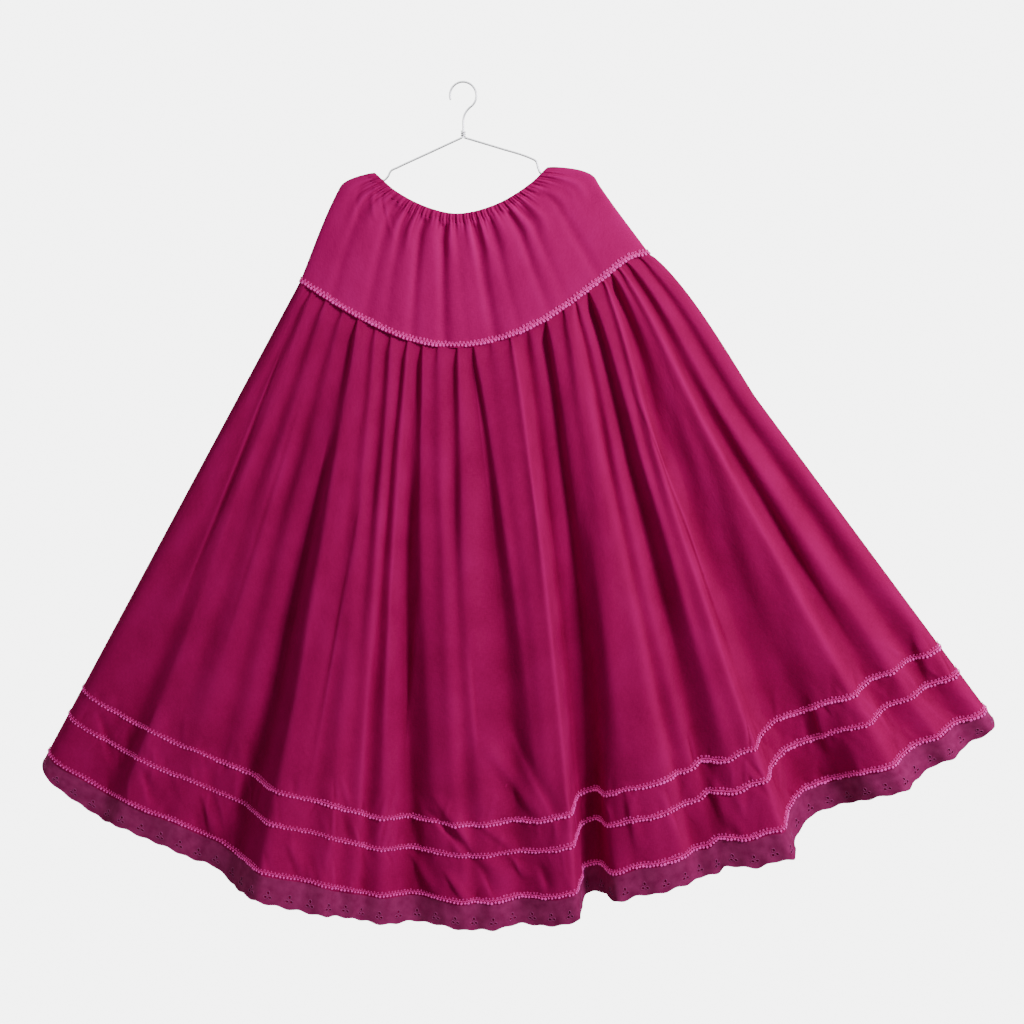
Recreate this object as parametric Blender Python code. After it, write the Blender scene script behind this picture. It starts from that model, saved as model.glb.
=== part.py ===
"""A long skirt hung by its elastic waist on a wire hanger.

The skirt has a gathered waist casing, a smooth hip yoke, a pleated skirt panel on each side,
three rows of picot braid near the hem, a fourth over the yoke seam, and a scalloped cutwork edging.
X runs across the skirt, the front faces -Y, Z is up. The origin is the inside top of the hanger's hook.
"""

import math
from collections import namedtuple

import bpy
import numpy as np

MM = 0.001

# Driving dimensions, in millimetres. The tables below are in millimetres too.
CLOTH = 1.6                # wall of the yoke and the skirt panels
BAND_WALL = 3.0            # two layers of cloth over the elastic
BAND_HEIGHT = 16.0
EDGING_WALL = 1.2
EDGING_DROP = 43.0         # from the lace seam to the tip of a scallop
EDGING_SHORTER = (0.6, 0.55)      # share of the drop lost beside the left and the right side seam
SCALLOP_RISE = 3.0         # from a tip up to the notch beside it
SCALLOPS = 60              # along each side's hem
SCALLOP_SNAP = 3.0         # a scallop's end closer than this to a fold is moved to it
EYELET_HALF = 2.9          # half width of the cut eyelet in each scallop
EYELET_HEIGHT = 16.0       # from the scallop's tip up to the eyelet
EYELET_MARGIN = 1.4        # least cloth between an eyelet and a fold
BRAID_HEIGHT = 9.0
BRAID_WALL = 2.0
SEAM_GAP = 0.3             # between pieces sewn edge to edge
BAND_SEAM_GAP = 0.6        # below the casing, where it turns over the shoulders of the hanger
PLEATED_SEAM_GAP = 0.8     # measured straight down, at the seams where the pleats meet a smooth edge
LAID_GAP = 0.7             # between a panel and what is sewn on it

YOKE_SEAM_TO_UPPER_BRAID = 717.0
UPPER_TO_MIDDLE_BRAID = 48.0
MIDDLE_BRAID_TO_EDGING = 77.0
DROP = YOKE_SEAM_TO_UPPER_BRAID + UPPER_TO_MIDDLE_BRAID + MIDDLE_BRAID_TO_EDGING
DROP_EXTRA_LEFT = -20.0    # the sides hang a little shorter or longer than the middle
DROP_EXTRA_RIGHT = 28.0
TIP_RISE_RIGHT = 4.0      # the corner at the right side seam is drawn up again
TIP_POWER = 16

WAIST_HALF_DEPTH = 9.0     # front to middle plane at the waist
SEAM_HALF_DEPTH = 20.0     # the same at the yoke seam
BELLY_POWER = 3.0          # roundness of the flattened tube seen from above

WIRE_RADIUS = 1.5
HOOK_RADIUS = 19.0         # to the wire's centre line
NECK_Z = -75.0

# Outlines seen from the front, x and z.
WAIST_EDGE = ((-128, -125.5), (-97, -152), (-48, -176), (-8, -183.5), (48, -170), (98, -140), (121, -118))
YOKE_SEAM = ((-241, -282), (-151, -336), (-64, -371), (24, -373), (111, -343), (198, -283), (240, -251),
             (272, -242))
YOKE_LEFT = ((-128, -125.5), (-154, -131), (-175, -141), (-183, -153), (-241, -282))
YOKE_RIGHT = ((121, -118), (143, -118), (176, -124), (189, -131), (196, -142), (272, -242))

# Soft folds of the yoke, from the waist down: place across the yoke, depth below the waist and at the seam.
YokeFold = namedtuple("YokeFold", "across depth_top depth_seam")
YOKE_FOLDS = (
    YokeFold(0.252, 2.8, 0.6),
    YokeFold(0.325, 4.4, 2.2),
    YokeFold(0.413, 5.2, 3.0),
    YokeFold(0.545, 4.8, 2.2),
    YokeFold(0.611, 2.8, 0.6),
    YokeFold(0.700, 4.2, 0.8),
    YokeFold(0.753, 3.0, 0.4),
)
YOKE_FOLD_WIDTH = 0.016
SHOULDER_POWER = 3.0       # how soon the side outline's shape fades inwards
FOLD_START = 10.0          # the folds reach their full depth this far below the casing
GATHERS = 28
GATHER_RELIEF = 0.9
YOKE_ROWS = (0.0, 0.1, 0.19, 0.27, 0.34, 1.0)      # closer at the shoulders

# One row for each pleat of the front panel, from left to right. Each has a sharp lip on its left edge.
# seam_x and hem_x place the lip at the yoke seam and at the edging, forward is how far the lip stands out
# at the hem, the three depths are those of the valley left of the lip at a fifth, at half and at the
# full drop, and valley is how far left of the lip that valley lies at the hem. To the right of the lip the
# cloth stays forward over the share hold of the pleat's width, having lost the share fade of its depth.
# flare brings the lip further out at the hem, bow moves the middle of the pleat's line sideways, and lift
# raises its hem.
Pleat = namedtuple("Pleat", "seam_x hem_x forward flare upper middle lower valley hold fade bow lift")
FRONT_PLEATS = (
    Pleat(-221, -522, 40, 4, 7, 12, 26, 24, 0.5, 0.5, 0, 0),
    Pleat(-201, -440, 40, 2, 9, 9, 6, 28, 0.5, 0.5, -8, 0),
    Pleat(-176, -382, 36, 0, 8, 8, 7, 20, 0.5, 0.5, -4, 0),
    Pleat(-154, -304, 84, 24, 16, 38, 62, 40, 0.5, 0.4, 4, 0),
    Pleat(-129, -208, 80, 20, 8, 7, 9, 24, 0.5, 0.5, 0, 0),
    Pleat(-106, -166, 74, 8, 12, 7, 5, 16, 0.5, 0.5, 0, 0),
    Pleat(-82, -128, 68, 6, 12, 14, 9, 22, 0.5, 0.5, -8, 0),
    Pleat(-60, -30, 64, 4, 15, 30, 24, 46, 0.5, 0.5, -14, 0),
    Pleat(-38, -2, 68, 4, 11, 7, 5, 11, 0.5, 0.5, -8, 0),
    Pleat(-9, 40, 66, 4, 14, 8, 10, 20, 0.5, 0.5, -10, 0),
    Pleat(15, 124, 66, 4, 16, 22, 18, 38, 0.5, 0.5, 14, 0),
    Pleat(40, 144, 70, 6, 12, 9, 5, 9, 0.5, 0.5, 8, 0),
    Pleat(68, 168, 70, 10, 10, 5, 7, 10, 0.5, 0.5, 8, 0),
    Pleat(95, 193, -2, 12, 24, 28, 8, 6, 0.5, 0.5, 8, 9),
    Pleat(121, 224, 24, 32, 26, 34, 48, 10, 0.5, 0.5, 10, 0),
    Pleat(146, 290, 58, 8, 8, 3, 8, 22, 0.8, 0.2, 0, 0),
    Pleat(164, 376, 40, 14, 20, 6, 10, 24, 0.5, 0.5, 0, 0),
    Pleat(182, 430, 50, 20, 26, 30, 20, 44, 0.5, 0.5, 6, -4),
    Pleat(203, 480, 50, 30, 7, 3, 7, 18, 0.3, 0.7, -6, -8),
    Pleat(216, 570, 10, 2, 24, 26, 10, 42, 0.5, 0.5, -4, 12),
    Pleat(225, 648, 40, 16, 6, 6, 10, 40, 0.3, 0.6, 0, 6),
    Pleat(237, 722, 30, 6, 13, 18, 14, 26, 0.5, 0.5, -6, 0),
    Pleat(256, 770, 16, 0, 8, 10, 5, 14, 0.5, 0.5, 0, 0),
)
FLARE_FROM = 0.6           # share of the drop below which the hem flares
# The back has as many pleats, evenly spaced, with a slow cycle of deep and shallow folds.
BackFold = namedtuple("BackFold", "upper middle lower")
BACK_CYCLE = (
    BackFold(12, 20, 26),
    BackFold(9, 8, 7),
    BackFold(13, 14, 10),
    BackFold(16, 32, 34),
    BackFold(8, 9, 8),
    BackFold(11, 10, 14),
    BackFold(9, 12, 8),
)
BACK_FORWARD = 62.0
LEFT_EDGE_HEM_X = -648.0
RIGHT_EDGE_HEM_X = 801.0
EDGE_ROUND_SEAM = 8.0      # width of the rounded side fold at the yoke seam
EDGE_ROUND_HEM = 18.0
EDGE_DEPTH_HEM = 24.0
RIGHT_BULGE = 13.0         # the right side seam swings out a little below the yoke
BULGE_ENDS_AT = 0.3        # share of the drop
BULGE_RISE = 0.6
PLEAT_DEPTH_SEAM = 3.0
PLEAT_LEAN = 2.0           # how far the valley lies left of its lip at the yoke seam
PLEAT_OPENS_AT = 0.22      # share of the drop where the pleats have opened into folds
TOP_OPENS_AT = 0.035       # the share where they swell out just below the yoke seam
TOP_SHARE = 0.75           # share of a pleat's upper depth reached there
TOP_LEAN = 4.0
TOP_PUFF = 4.0
PUFF_ENDS_AT = 0.5

# Levels of the panel's rows, as shares of the drop.
UPPER_BRAID_AT = YOKE_SEAM_TO_UPPER_BRAID / DROP
MIDDLE_BRAID_AT = (YOKE_SEAM_TO_UPPER_BRAID + UPPER_TO_MIDDLE_BRAID) / DROP
LOWER_BRAID_AT = 1.0 - (BRAID_HEIGHT / 2 + 1.5) / DROP
PANEL_LEVELS = (0.0, TOP_OPENS_AT, 0.1, 0.22, 0.4, 0.63, UPPER_BRAID_AT, MIDDLE_BRAID_AT, 1.0)


def ease(share):
    """A smooth step from 0 to 1."""
    share = min(max(share, 0.0), 1.0)
    return share * share * (3.0 - 2.0 * share)


def smooth_curve(points, at):
    """The value at a place on a smooth curve through a table of (place, value) rows."""
    places = [float(p[0]) for p in points]
    values = [float(p[1]) for p in points]
    steps = [(values[i + 1] - values[i]) / (places[i + 1] - places[i]) for i in range(len(points) - 1)]
    slopes = [steps[0]] + [(a + b) / 2 for a, b in zip(steps, steps[1:])] + [steps[-1]]
    at = min(max(at, places[0]), places[-1])
    i = max(k for k in range(len(places) - 1) if places[k] <= at)
    width = places[i + 1] - places[i]
    f = (at - places[i]) / width
    return ((1 + 2 * f) * (1 - f) ** 2 * values[i] + f * (1 - f) ** 2 * width * slopes[i]
            + f * f * (3 - 2 * f) * values[i + 1] + f * f * (f - 1) * width * slopes[i + 1])


def along(points, share):
    """A point on a smooth curve through (x, z) points, at a share of its length."""
    lengths = [0.0]
    for a, b in zip(points, points[1:]):
        lengths.append(lengths[-1] + math.dist(a, b))
    at = share * lengths[-1]
    return np.array([smooth_curve([(s, p[axis]) for s, p in zip(lengths, points)], at) for axis in (0, 1)])


def belly(across):
    """Share of the full half depth at a place across the flattened tube, from 0 to 1."""
    return (1.0 - min(abs(2.0 * across - 1.0), 1.0) ** BELLY_POWER) ** (1.0 / BELLY_POWER)


def seam_z(x):
    return smooth_curve(YOKE_SEAM, x)


def seam_half_depth(x):
    left, right = YOKE_SEAM[0][0], YOKE_SEAM[-1][0]
    return SEAM_GAP / 2 + SEAM_HALF_DEPTH * belly((x - left) / (right - left))


def mirrored(points):
    """The same outline seen from behind."""
    return tuple((-x, z) for x, z in reversed(points))


class YokeSide:
    """The waist casing and the yoke of one side: a sheet stretched between four outlines."""

    def __init__(self, behind):
        self.turn = -1.0 if behind else 1.0
        self.waist = mirrored(WAIST_EDGE) if behind else WAIST_EDGE
        self.seam = mirrored(YOKE_SEAM) if behind else YOKE_SEAM
        self.left = tuple((-x, z) for x, z in YOKE_RIGHT) if behind else YOKE_LEFT
        self.right = tuple((-x, z) for x, z in YOKE_LEFT) if behind else YOKE_RIGHT
        self.folds = YOKE_FOLDS

    def point(self, across, down):
        """Millimetres, seen from this side, with -Y towards the viewer."""
        top, bottom = along(self.waist, across), along(self.seam, across)
        bottom[1] = seam_z(self.turn * bottom[0])
        flat = (1 - down) * top + down * bottom
        for side, edge, end in ((self.left, 1 - across, 0), (self.right, across, -1)):
            straight = (1 - down) * np.array(self.waist[end]) + down * np.array(self.seam[end])
            flat = flat + edge ** SHOULDER_POWER * (along(side, down) - straight)
        half = WAIST_HALF_DEPTH + (SEAM_HALF_DEPTH - WAIST_HALF_DEPTH) * down
        depth = SEAM_GAP / 2 + half * belly(across)
        for fold in self.folds:
            trough = math.exp(-((across - fold.across) / YOKE_FOLD_WIDTH) ** 2)
            below_band = (down * self.length() - BAND_HEIGHT) / FOLD_START
            depth -= trough * (fold.depth_top + (fold.depth_seam - fold.depth_top) * down) * ease(below_band)
        return np.array([flat[0], -depth, flat[1]])

    def length(self):
        return math.dist(along(self.waist, 0.5), along(self.seam, 0.5))

    def grid(self, drops):
        """Rows at the given drops below the waist, with two columns for each gather."""
        columns = 2 * GATHERS
        return np.array([[self.point(c / columns, drop / self.length()) for c in range(columns + 1)]
                         for drop in drops])


class PanelSide:
    """The pleated skirt panel of one side, as straight lines of cloth from the yoke seam to the hem."""

    def __init__(self, behind):
        self.turn = -1.0 if behind else 1.0
        self.face_steps = 1 if behind else 2
        hems = [(YOKE_SEAM[0][0], LEFT_EDGE_HEM_X)] + [(p.seam_x, p.hem_x) for p in FRONT_PLEATS]
        hems.append((YOKE_SEAM[-1][0], RIGHT_EDGE_HEM_X))
        if behind:
            self.edges = ((-hems[-1][0], -hems[-1][1]), (-hems[0][0], -hems[0][1]))
            self.pleats = self.back_pleats([(-seam_x, -hem_x) for seam_x, hem_x in reversed(hems)])
        else:
            self.edges = (hems[0], hems[-1])
            self.pleats = FRONT_PLEATS

    @staticmethod
    def back_pleats(hems):
        pleats = []
        first, last = hems[0][0], hems[-1][0]
        count = len(FRONT_PLEATS)
        for k in range(count):
            across = (k + 0.9) / (count + 0.8)
            x = first + (last - first) * across
            fold = BACK_CYCLE[k % len(BACK_CYCLE)]
            hem_x = np.interp(x, [h[0] for h in hems], [h[1] for h in hems])
            spread = (hems[-1][1] - hems[0][1]) * across + hems[0][1]
            hem_x = 0.35 * hem_x + 0.65 * spread
            forward = BACK_FORWARD * belly(across)
            lower = min(fold.lower, forward - 6)
            pleats.append(Pleat(x, hem_x, forward, 4, fold.upper, fold.middle, lower, 24, 0.5, 0.5, 0, 0))
        return tuple(pleats)

    def drop(self, across):
        extra = DROP_EXTRA_LEFT, DROP_EXTRA_RIGHT
        if self.turn < 0:
            extra = extra[1], extra[0]
        side = 2.0 * across - 1.0
        tip = TIP_RISE_RIGHT * max(side * self.turn, 0.0) ** TIP_POWER
        return DROP + side * side * (extra[0] if side < 0 else extra[1]) - tip

    def line(self, seam_x, hem_x, hem_y, level):
        """Where one straight line of cloth has got to: its x, and how far it has come down."""
        left, right = self.edges[0][0], self.edges[1][0]
        across = (seam_x - left) / (right - left)
        seam_y = -seam_half_depth(self.turn * seam_x)
        fall = math.sqrt(self.drop(across) ** 2 - (hem_x - seam_x) ** 2 - (hem_y - seam_y) ** 2)
        x = seam_x + (hem_x - seam_x) * level
        front_across = across if self.turn > 0 else 1.0 - across
        swing = min(level / BULGE_ENDS_AT, 1.0) ** BULGE_RISE
        swing = RIGHT_BULGE * front_across ** 6 * math.sin(math.pi * swing)
        return x + self.turn * swing, fall * level

    def forward(self, pleat, level):
        seam = seam_half_depth(self.turn * pleat.seam_x) - PLEAT_DEPTH_SEAM / 2
        flare = pleat.flare * (max(level - FLARE_FROM, 0.0) / (1.0 - FLARE_FROM)) ** 2
        puff = TOP_PUFF * ease(level / TOP_OPENS_AT) * (1.0 - ease(level / PUFF_ENDS_AT))
        return seam + (pleat.forward - seam) * level ** 0.85 + flare + puff

    def section(self, level, face_steps, wall_steps, edge_steps):
        """One row of points across the panel, from its left side seam to its right one.

        Each point is worked out as its x, y, fall, and the x of the same thread at the yoke seam.
        """
        corners = []
        for pleat in self.pleats:
            x, fall = self.line(pleat.seam_x, pleat.hem_x, -pleat.forward - pleat.flare, level)
            x += 4.0 * pleat.bow * level * (1.0 - min(level, 1.0))
            fall -= pleat.lift * level ** 2
            y = -self.forward(pleat, level)
            depth = smooth_curve(((0, PLEAT_DEPTH_SEAM), (TOP_OPENS_AT, TOP_SHARE * pleat.upper),
                                  (0.2, pleat.upper), (0.5, pleat.middle), (1, pleat.lower)), level)
            lean = PLEAT_LEAN + TOP_LEAN * ease(level / TOP_OPENS_AT)
            lean += pleat.valley * level * ease(level / PLEAT_OPENS_AT)
            corners.append(np.array((x - lean, min(y + depth, -3.0), fall, pleat.seam_x - PLEAT_LEAN)))
            corners.append(np.array((x, y, fall, pleat.seam_x)))
        for k in range(2, len(corners) - 1, 2):
            corners[k][2] = 0.4 * corners[k - 1][2] + 0.6 * corners[k + 1][2]
        rim = [self.side_fold(side, level, edge_steps) for side in (0, 1)]
        row = rim[0][:-1]
        points = [rim[0][-1]] + corners + [rim[1][-1]]
        for k, (a, b) in enumerate(zip(points, points[1:])):
            steps = wall_steps if k % 2 else face_steps
            pleat = self.pleats[k // 2 - 1] if k and k % 2 == 0 else None
            for s in range(steps):
                share, y_share = self.face_profile(s / steps, pleat)
                row.append(a + (b - a) * np.array((share, y_share, share, share)))
        row += rim[1][::-1]
        return np.array([(x, y, seam_z(self.turn * seam_x) - PLEATED_SEAM_GAP - fall)
                         for x, y, fall, seam_x in row])

    @staticmethod
    def face_profile(share, pleat):
        """Across and back along one face, for an even step of its width."""
        if pleat is None or share == 0.0:
            return share, ease(share)
        knots = ((0.0, 0.0), (0.5, pleat.hold), (1.0, 1.0))
        across = smooth_curve(knots, share)
        return across, smooth_curve(((0.0, 0.0), (pleat.hold, pleat.fade), (1.0, 1.0)), across)

    def side_fold(self, side, level, steps):
        """The rounded fold beside a side seam, from the seam inwards."""
        seam_x, hem_x = self.edges[side]
        inward = 1.0 if side == 0 else -1.0
        x, fall = self.line(seam_x, hem_x, 0.0, level)
        width = EDGE_ROUND_SEAM + (EDGE_ROUND_HEM - EDGE_ROUND_SEAM) * level
        at_seam = seam_half_depth(self.turn * (seam_x + inward * EDGE_ROUND_SEAM))
        depth = at_seam + (EDGE_DEPTH_HEM - at_seam) * level
        pleat = self.pleats[0] if side == 0 else self.pleats[-1]
        next_x, next_fall = self.line(pleat.seam_x, pleat.hem_x, -pleat.forward - pleat.flare, level)
        fold = []
        for s in range(steps + 1):
            angle = 0.5 * math.pi * s / steps
            off = 1 - math.cos(angle)
            share = width * off / abs(next_x - x)
            y = -SEAM_GAP / 2 - (depth - SEAM_GAP / 2) * math.sin(angle)
            fold.append(np.array((x + inward * width * off, y, fall + (next_fall - fall) * share,
                                  seam_x + inward * EDGE_ROUND_SEAM * off)))
        return fold


def unit(vectors):
    return vectors / np.maximum(np.linalg.norm(vectors, axis=-1, keepdims=True), 1e-12)


def normals(grid):
    """Outward direction at each point of a grid of rows (downwards) and columns (left to right)."""
    down = np.gradient(grid, axis=0)
    step = grid[:, 1:] - grid[:, :-1]
    forward = np.zeros_like(grid[:, :1])
    forward[..., 1] = -1.0
    left = np.concatenate([forward, step], axis=1)
    right = np.concatenate([step, -forward], axis=1)
    left[:, -1] = -forward[:, 0]
    right[:, 0] = forward[:, 0]
    return unit(unit(np.cross(down, left)) + unit(np.cross(down, right)))


def add_object(name, vertices, faces, material, turn=1.0):
    """A named mesh object; vertices are in millimetres, seen from the piece's own side."""
    spin = np.array([turn, turn, 1.0]) * MM
    mesh = bpy.data.meshes.new(name)
    mesh.from_pydata([tuple(v) for v in np.asarray(vertices) * spin], [], faces)
    mesh.materials.append(material)
    mesh.validate()
    thing = bpy.data.objects.new(name, mesh)
    bpy.context.collection.objects.link(thing)
    return thing


def skin(rows, cols, start, flip):
    """Triangles over a grid of points numbered row by row, always split the same way."""
    faces = []
    for r in range(rows - 1):
        for c in range(cols - 1):
            a = start + r * cols + c
            for face in ((a, a + cols, a + cols + 1), (a, a + cols + 1, a + 1)):
                faces.append(face[::-1] if flip else face)
    return faces


def wall(name, grid, low, high, material, turn, out=None):
    """A closed wall between two offsets of a grid, both measured outwards from it."""
    rows, cols = grid.shape[:2]
    out = normals(grid) if out is None else out
    count = rows * cols
    vertices = np.concatenate([(grid + out * high).reshape(-1, 3), (grid + out * low).reshape(-1, 3)])
    faces = skin(rows, cols, 0, False) + skin(rows, cols, count, True)
    rim = [(0, c) for c in range(cols)] + [(r, cols - 1) for r in range(1, rows)]
    rim += [(rows - 1, c) for c in range(cols - 2, -1, -1)] + [(r, 0) for r in range(rows - 2, 0, -1)]
    for (r1, c1), (r2, c2) in zip(rim, rim[1:] + rim[:1]):
        a, b = r1 * cols + c1, r2 * cols + c2
        faces.append((a, b, b + count, a + count))
    return add_object(name, vertices, faces, material, turn)


def between_rows(grid, levels, level):
    """A row of points at a level of a grid whose rows lie at the given levels."""
    i = max(k for k in range(len(levels) - 1) if levels[k] <= level)
    f = (level - levels[i]) / (levels[i + 1] - levels[i])
    return grid[i] * (1 - f) + grid[i + 1] * f


def braid(name, grid, levels, level, length, material, turn):
    """A row of braid made from a panel's own columns, moved out from its face."""
    half = BRAID_HEIGHT / 2 / length
    ends = (level - half, level + half)
    rows = np.array([between_rows(grid, levels, end) for end in ends])
    out = np.array([between_rows(normals(grid), levels, end) for end in ends])
    low = CLOTH / 2 + LAID_GAP
    return wall(name, rows, low, low + BRAID_WALL, material, turn, unit(out))


def edging_lost(at, turn):
    """Share of the edging's drop that is missing at a place along a panel's hem."""
    side = 2.0 * at - 1.0
    return EDGING_SHORTER[0 if side * turn < 0 else 1] * abs(side) ** TIP_POWER


def scallop_columns(place, length):
    """Places of the scallops' ends, moved to a fold where one is close, and of the folds between."""
    near = SCALLOP_SNAP / length
    ends = [k / SCALLOPS for k in range(SCALLOPS + 1)]
    for k in range(1, SCALLOPS):
        fold = min(place, key=lambda p: abs(p - ends[k]))
        if abs(fold - ends[k]) < near:
            ends[k] = fold
    return ends, [p for p in place if min(abs(p - end) for end in ends) > near / 10]


def edging(name, panel, material):
    """The scalloped edging with one cut eyelet in each scallop, split where the pleats fold it."""
    top_level = 1.0 + PLEATED_SEAM_GAP / DROP
    bottom_level = 1.0 + EDGING_DROP / DROP
    fine = np.array([panel.section(level, panel.face_steps, 1, 2) for level in (top_level, bottom_level)])
    fine_out = normals(fine)
    steps = np.linalg.norm(np.diff(fine[1], axis=0), axis=1)
    length = float(steps.sum())
    place = np.concatenate([[0.0], np.cumsum(steps)]) / length
    ends, folds = scallop_columns(place, length)
    points, outs, faces = [], [], []

    def between(rows, at):
        return np.array([[np.interp(at, place, row[:, axis]) for axis in range(3)] for row in rows])

    def add(point, out):
        points.append(point)
        outs.append(out)
        return len(points) - 1

    def column(at, share):
        """Adds the two ends of a straight line down the edging; share is the place in its scallop."""
        line, out = between(fine, at), unit(between(fine_out, at))
        rise = SCALLOP_RISE / EDGING_DROP * (2 * share - 1) ** 2
        rise += edging_lost(at, panel.turn)
        return add(line[0], out[0]), add(line[1] + (line[0] - line[1]) * rise, out[1])

    def eyelet_points(at, left, right):
        """Adds the eyelet's four corners and the bottom point under it, all in one flat face."""
        line = between(fine, at)
        out = unit(np.cross(line[1] - line[0], points[right[0]] - points[left[0]]))
        across = unit(points[right[0]] - points[left[0]]) * EYELET_HALF
        down = unit(line[1] - line[0]) * EYELET_HALF
        tip = line[1] + (line[0] - line[1]) * edging_lost(at, panel.turn)
        centre = tip - unit(line[1] - line[0]) * EYELET_HEIGHT
        ring = [add(centre + move, out) for move in (-down, across, down, -across)]
        return ring + [add(tip, out)]

    cells, rim = [], []
    last = column(0.0, 0.0)
    for start, end in zip(ends, ends[1:]):
        inner = [p for p in folds if start < p < end]
        cuts = [start] + inner + [end]
        need = (EYELET_HALF + EYELET_MARGIN) / length
        parts = [pair for pair in zip(cuts, cuts[1:]) if pair[1] - pair[0] > 2 * need]
        middle = (start + end) / 2
        centre = min((min(max(middle, a + need), b - need) for a, b in parts), key=lambda c: abs(c - middle))
        for a, b in zip(cuts, cuts[1:]):
            new = column(b, (b - start) / (end - start))
            if a < centre < b:
                top, right, bottom, left, tip = eyelet_points(centre, last, new)
                tl, bl, tr, br = last + new
                cells += [(tl, top, tr), (tl, left, top), (tr, top, right), (tl, bl, left), (tr, right, br),
                          (bl, bottom, left), (bl, tip, bottom), (tip, br, bottom), (br, right, bottom)]
                rim += [(tr, tl), (bl, tip), (tip, br), (left, top), (top, right), (right, bottom), (bottom, left)]
            else:
                cells += [(last[0], last[1], new[1]), (last[0], new[1], new[0])]
                rim += [(new[0], last[0]), (last[1], new[1])]
            last = new
    rim += [(0, 1), (last[1], last[0])]
    count = len(points)
    points, outs = np.array(points), np.array(outs)
    vertices = np.concatenate([points + outs * EDGING_WALL / 2, points - outs * EDGING_WALL / 2])
    for a, b, c in cells:
        faces += [(a, b, c), (a + count, c + count, b + count)]
    faces += [(b, a, a + count, b + count) for a, b in rim]
    return add_object(name, vertices, faces, material, panel.turn)


def wire(name, points, material):
    """A round wire through (x, z) points in the hanger's plane, with flat ends."""
    curve = bpy.data.curves.new(name, "CURVE")
    curve.dimensions = "3D"
    curve.bevel_depth = WIRE_RADIUS * MM
    curve.bevel_resolution = 1
    curve.use_fill_caps = True
    spline = curve.splines.new("POLY")
    spline.points.add(len(points) - 1)
    for point, (x, z) in zip(spline.points, points):
        point.co = (x * MM, 0.0, z * MM, 1.0)
    curve.materials.append(material)
    thing = bpy.data.objects.new(name, curve)
    bpy.context.collection.objects.link(thing)
    return thing


def smooth_route(points, steps):
    """Evenly spread points on a smooth curve through hand-placed ones."""
    return [tuple(along(points, s / steps)) for s in range(steps + 1)]


def hook_route():
    """From the neck straight up, round to the right and over, open on the left."""
    centre_z = WIRE_RADIUS - HOOK_RADIUS
    route = [(0.0, NECK_Z - WIRE_RADIUS), (0.0, -62.0), (0.3, -50.0), (3.0, -42.0), (8.0, -35.5)]
    for k in range(17):
        angle = math.radians(-42 + 15 * k)
        route.append((HOOK_RADIUS * math.cos(angle), centre_z + HOOK_RADIUS * math.sin(angle)))
    return route


# The hanger's arms, from the neck out: a notch for the waist, the shoulder, and the turn into the bar.
ARM_LEFT = ((-2.0, -76.0), (-50, -97.5), (-96, -118), (-105, -122.5), (-110, -131), (-116, -136),
            (-124, -133), (-134, -132.2), (-154, -136.3), (-171, -145), (-180, -157), (-184, -178),
            (-183, -195), (-177, -205), (-172, -206.3), (-168, -206))
ARM_RIGHT = ((2.0, -76.0), (50, -90), (98, -105), (105, -109), (108, -118), (112, -126),
             (119, -127), (128, -124), (143, -122.8), (172, -128.8), (185, -135.8), (190.5, -146), (195, -164),
             (195, -176), (189, -183), (184, -184.1), (180, -184.4))
BAR = ((-167.6, -206.0), (179.6, -184.4))


def material(name, colour, roughness, metallic=0.0):
    made = bpy.data.materials.new(name)
    made.use_nodes = True
    shader = made.node_tree.nodes["Principled BSDF"]
    shader.inputs["Base Color"].default_value = (*colour, 1.0)
    shader.inputs["Roughness"].default_value = roughness
    shader.inputs["Metallic"].default_value = metallic
    made.diffuse_color = (*colour, 1.0)
    return made


def build():
    for thing in list(bpy.data.objects):
        bpy.data.objects.remove(thing, do_unlink=True)
    cloth = material("magenta_cloth", (0.42, 0.018, 0.13), 0.85)
    casing = material("magenta_casing", (0.40, 0.017, 0.12), 0.85)
    cutwork = material("cutwork_edging", (0.30, 0.03, 0.14), 0.7)
    picot = material("pink_picot_braid", (0.72, 0.16, 0.44), 0.6)
    steel = material("galvanised_wire", (0.6, 0.6, 0.62), 0.35, 1.0)

    for side, behind in (("front", False), ("back", True)):
        yoke = YokeSide(behind)
        top = BAND_HEIGHT + BAND_SEAM_GAP
        height = yoke.length() - top
        grid = yoke.grid([0.0, BAND_HEIGHT] + [top + height * row for row in YOKE_ROWS])
        out = normals(grid)
        out[1] = out[2] = out[0]
        ripple = np.array([[GATHER_RELIEF if c % 2 else -GATHER_RELIEF] for c in range(grid.shape[1])])
        half = np.full(ripple.shape, BAND_WALL / 2)
        for ends in (slice(0, 2), slice(-2, None)):
            ripple[ends], half[ends] = 0.0, CLOTH / 2
        wall(f"waistband_{side}", grid[:2] + out[:2] * ripple, -half, half, casing, yoke.turn, out[:2])
        wall(f"yoke_{side}", grid[2:], -CLOTH / 2, CLOTH / 2, cloth, yoke.turn, out[2:])
        braid(f"trim_yoke_{side}", grid[2:], YOKE_ROWS, 1 - (BRAID_HEIGHT / 2 + 0.5) / height,
              height, picot, yoke.turn)

        panel = PanelSide(behind)
        grid = np.array([panel.section(level, panel.face_steps, 1, 2) for level in PANEL_LEVELS])
        wall(f"skirt_{side}", grid, -CLOTH / 2, CLOTH / 2, cloth, panel.turn)
        for row, level in (("upper", UPPER_BRAID_AT), ("middle", MIDDLE_BRAID_AT), ("lower", LOWER_BRAID_AT)):
            braid(f"trim_{row}_{side}", grid, PANEL_LEVELS, level, DROP, picot, panel.turn)
        edging(f"lace_{side}", panel, cutwork)

    wire("hanger_hook", hook_route(), steel)
    wire("hanger_arm_left", smooth_route(ARM_LEFT, 24), steel)
    wire("hanger_arm_right", smooth_route(ARM_RIGHT, 24), steel)
    wire("hanger_bar", BAR, steel)


build()
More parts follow.
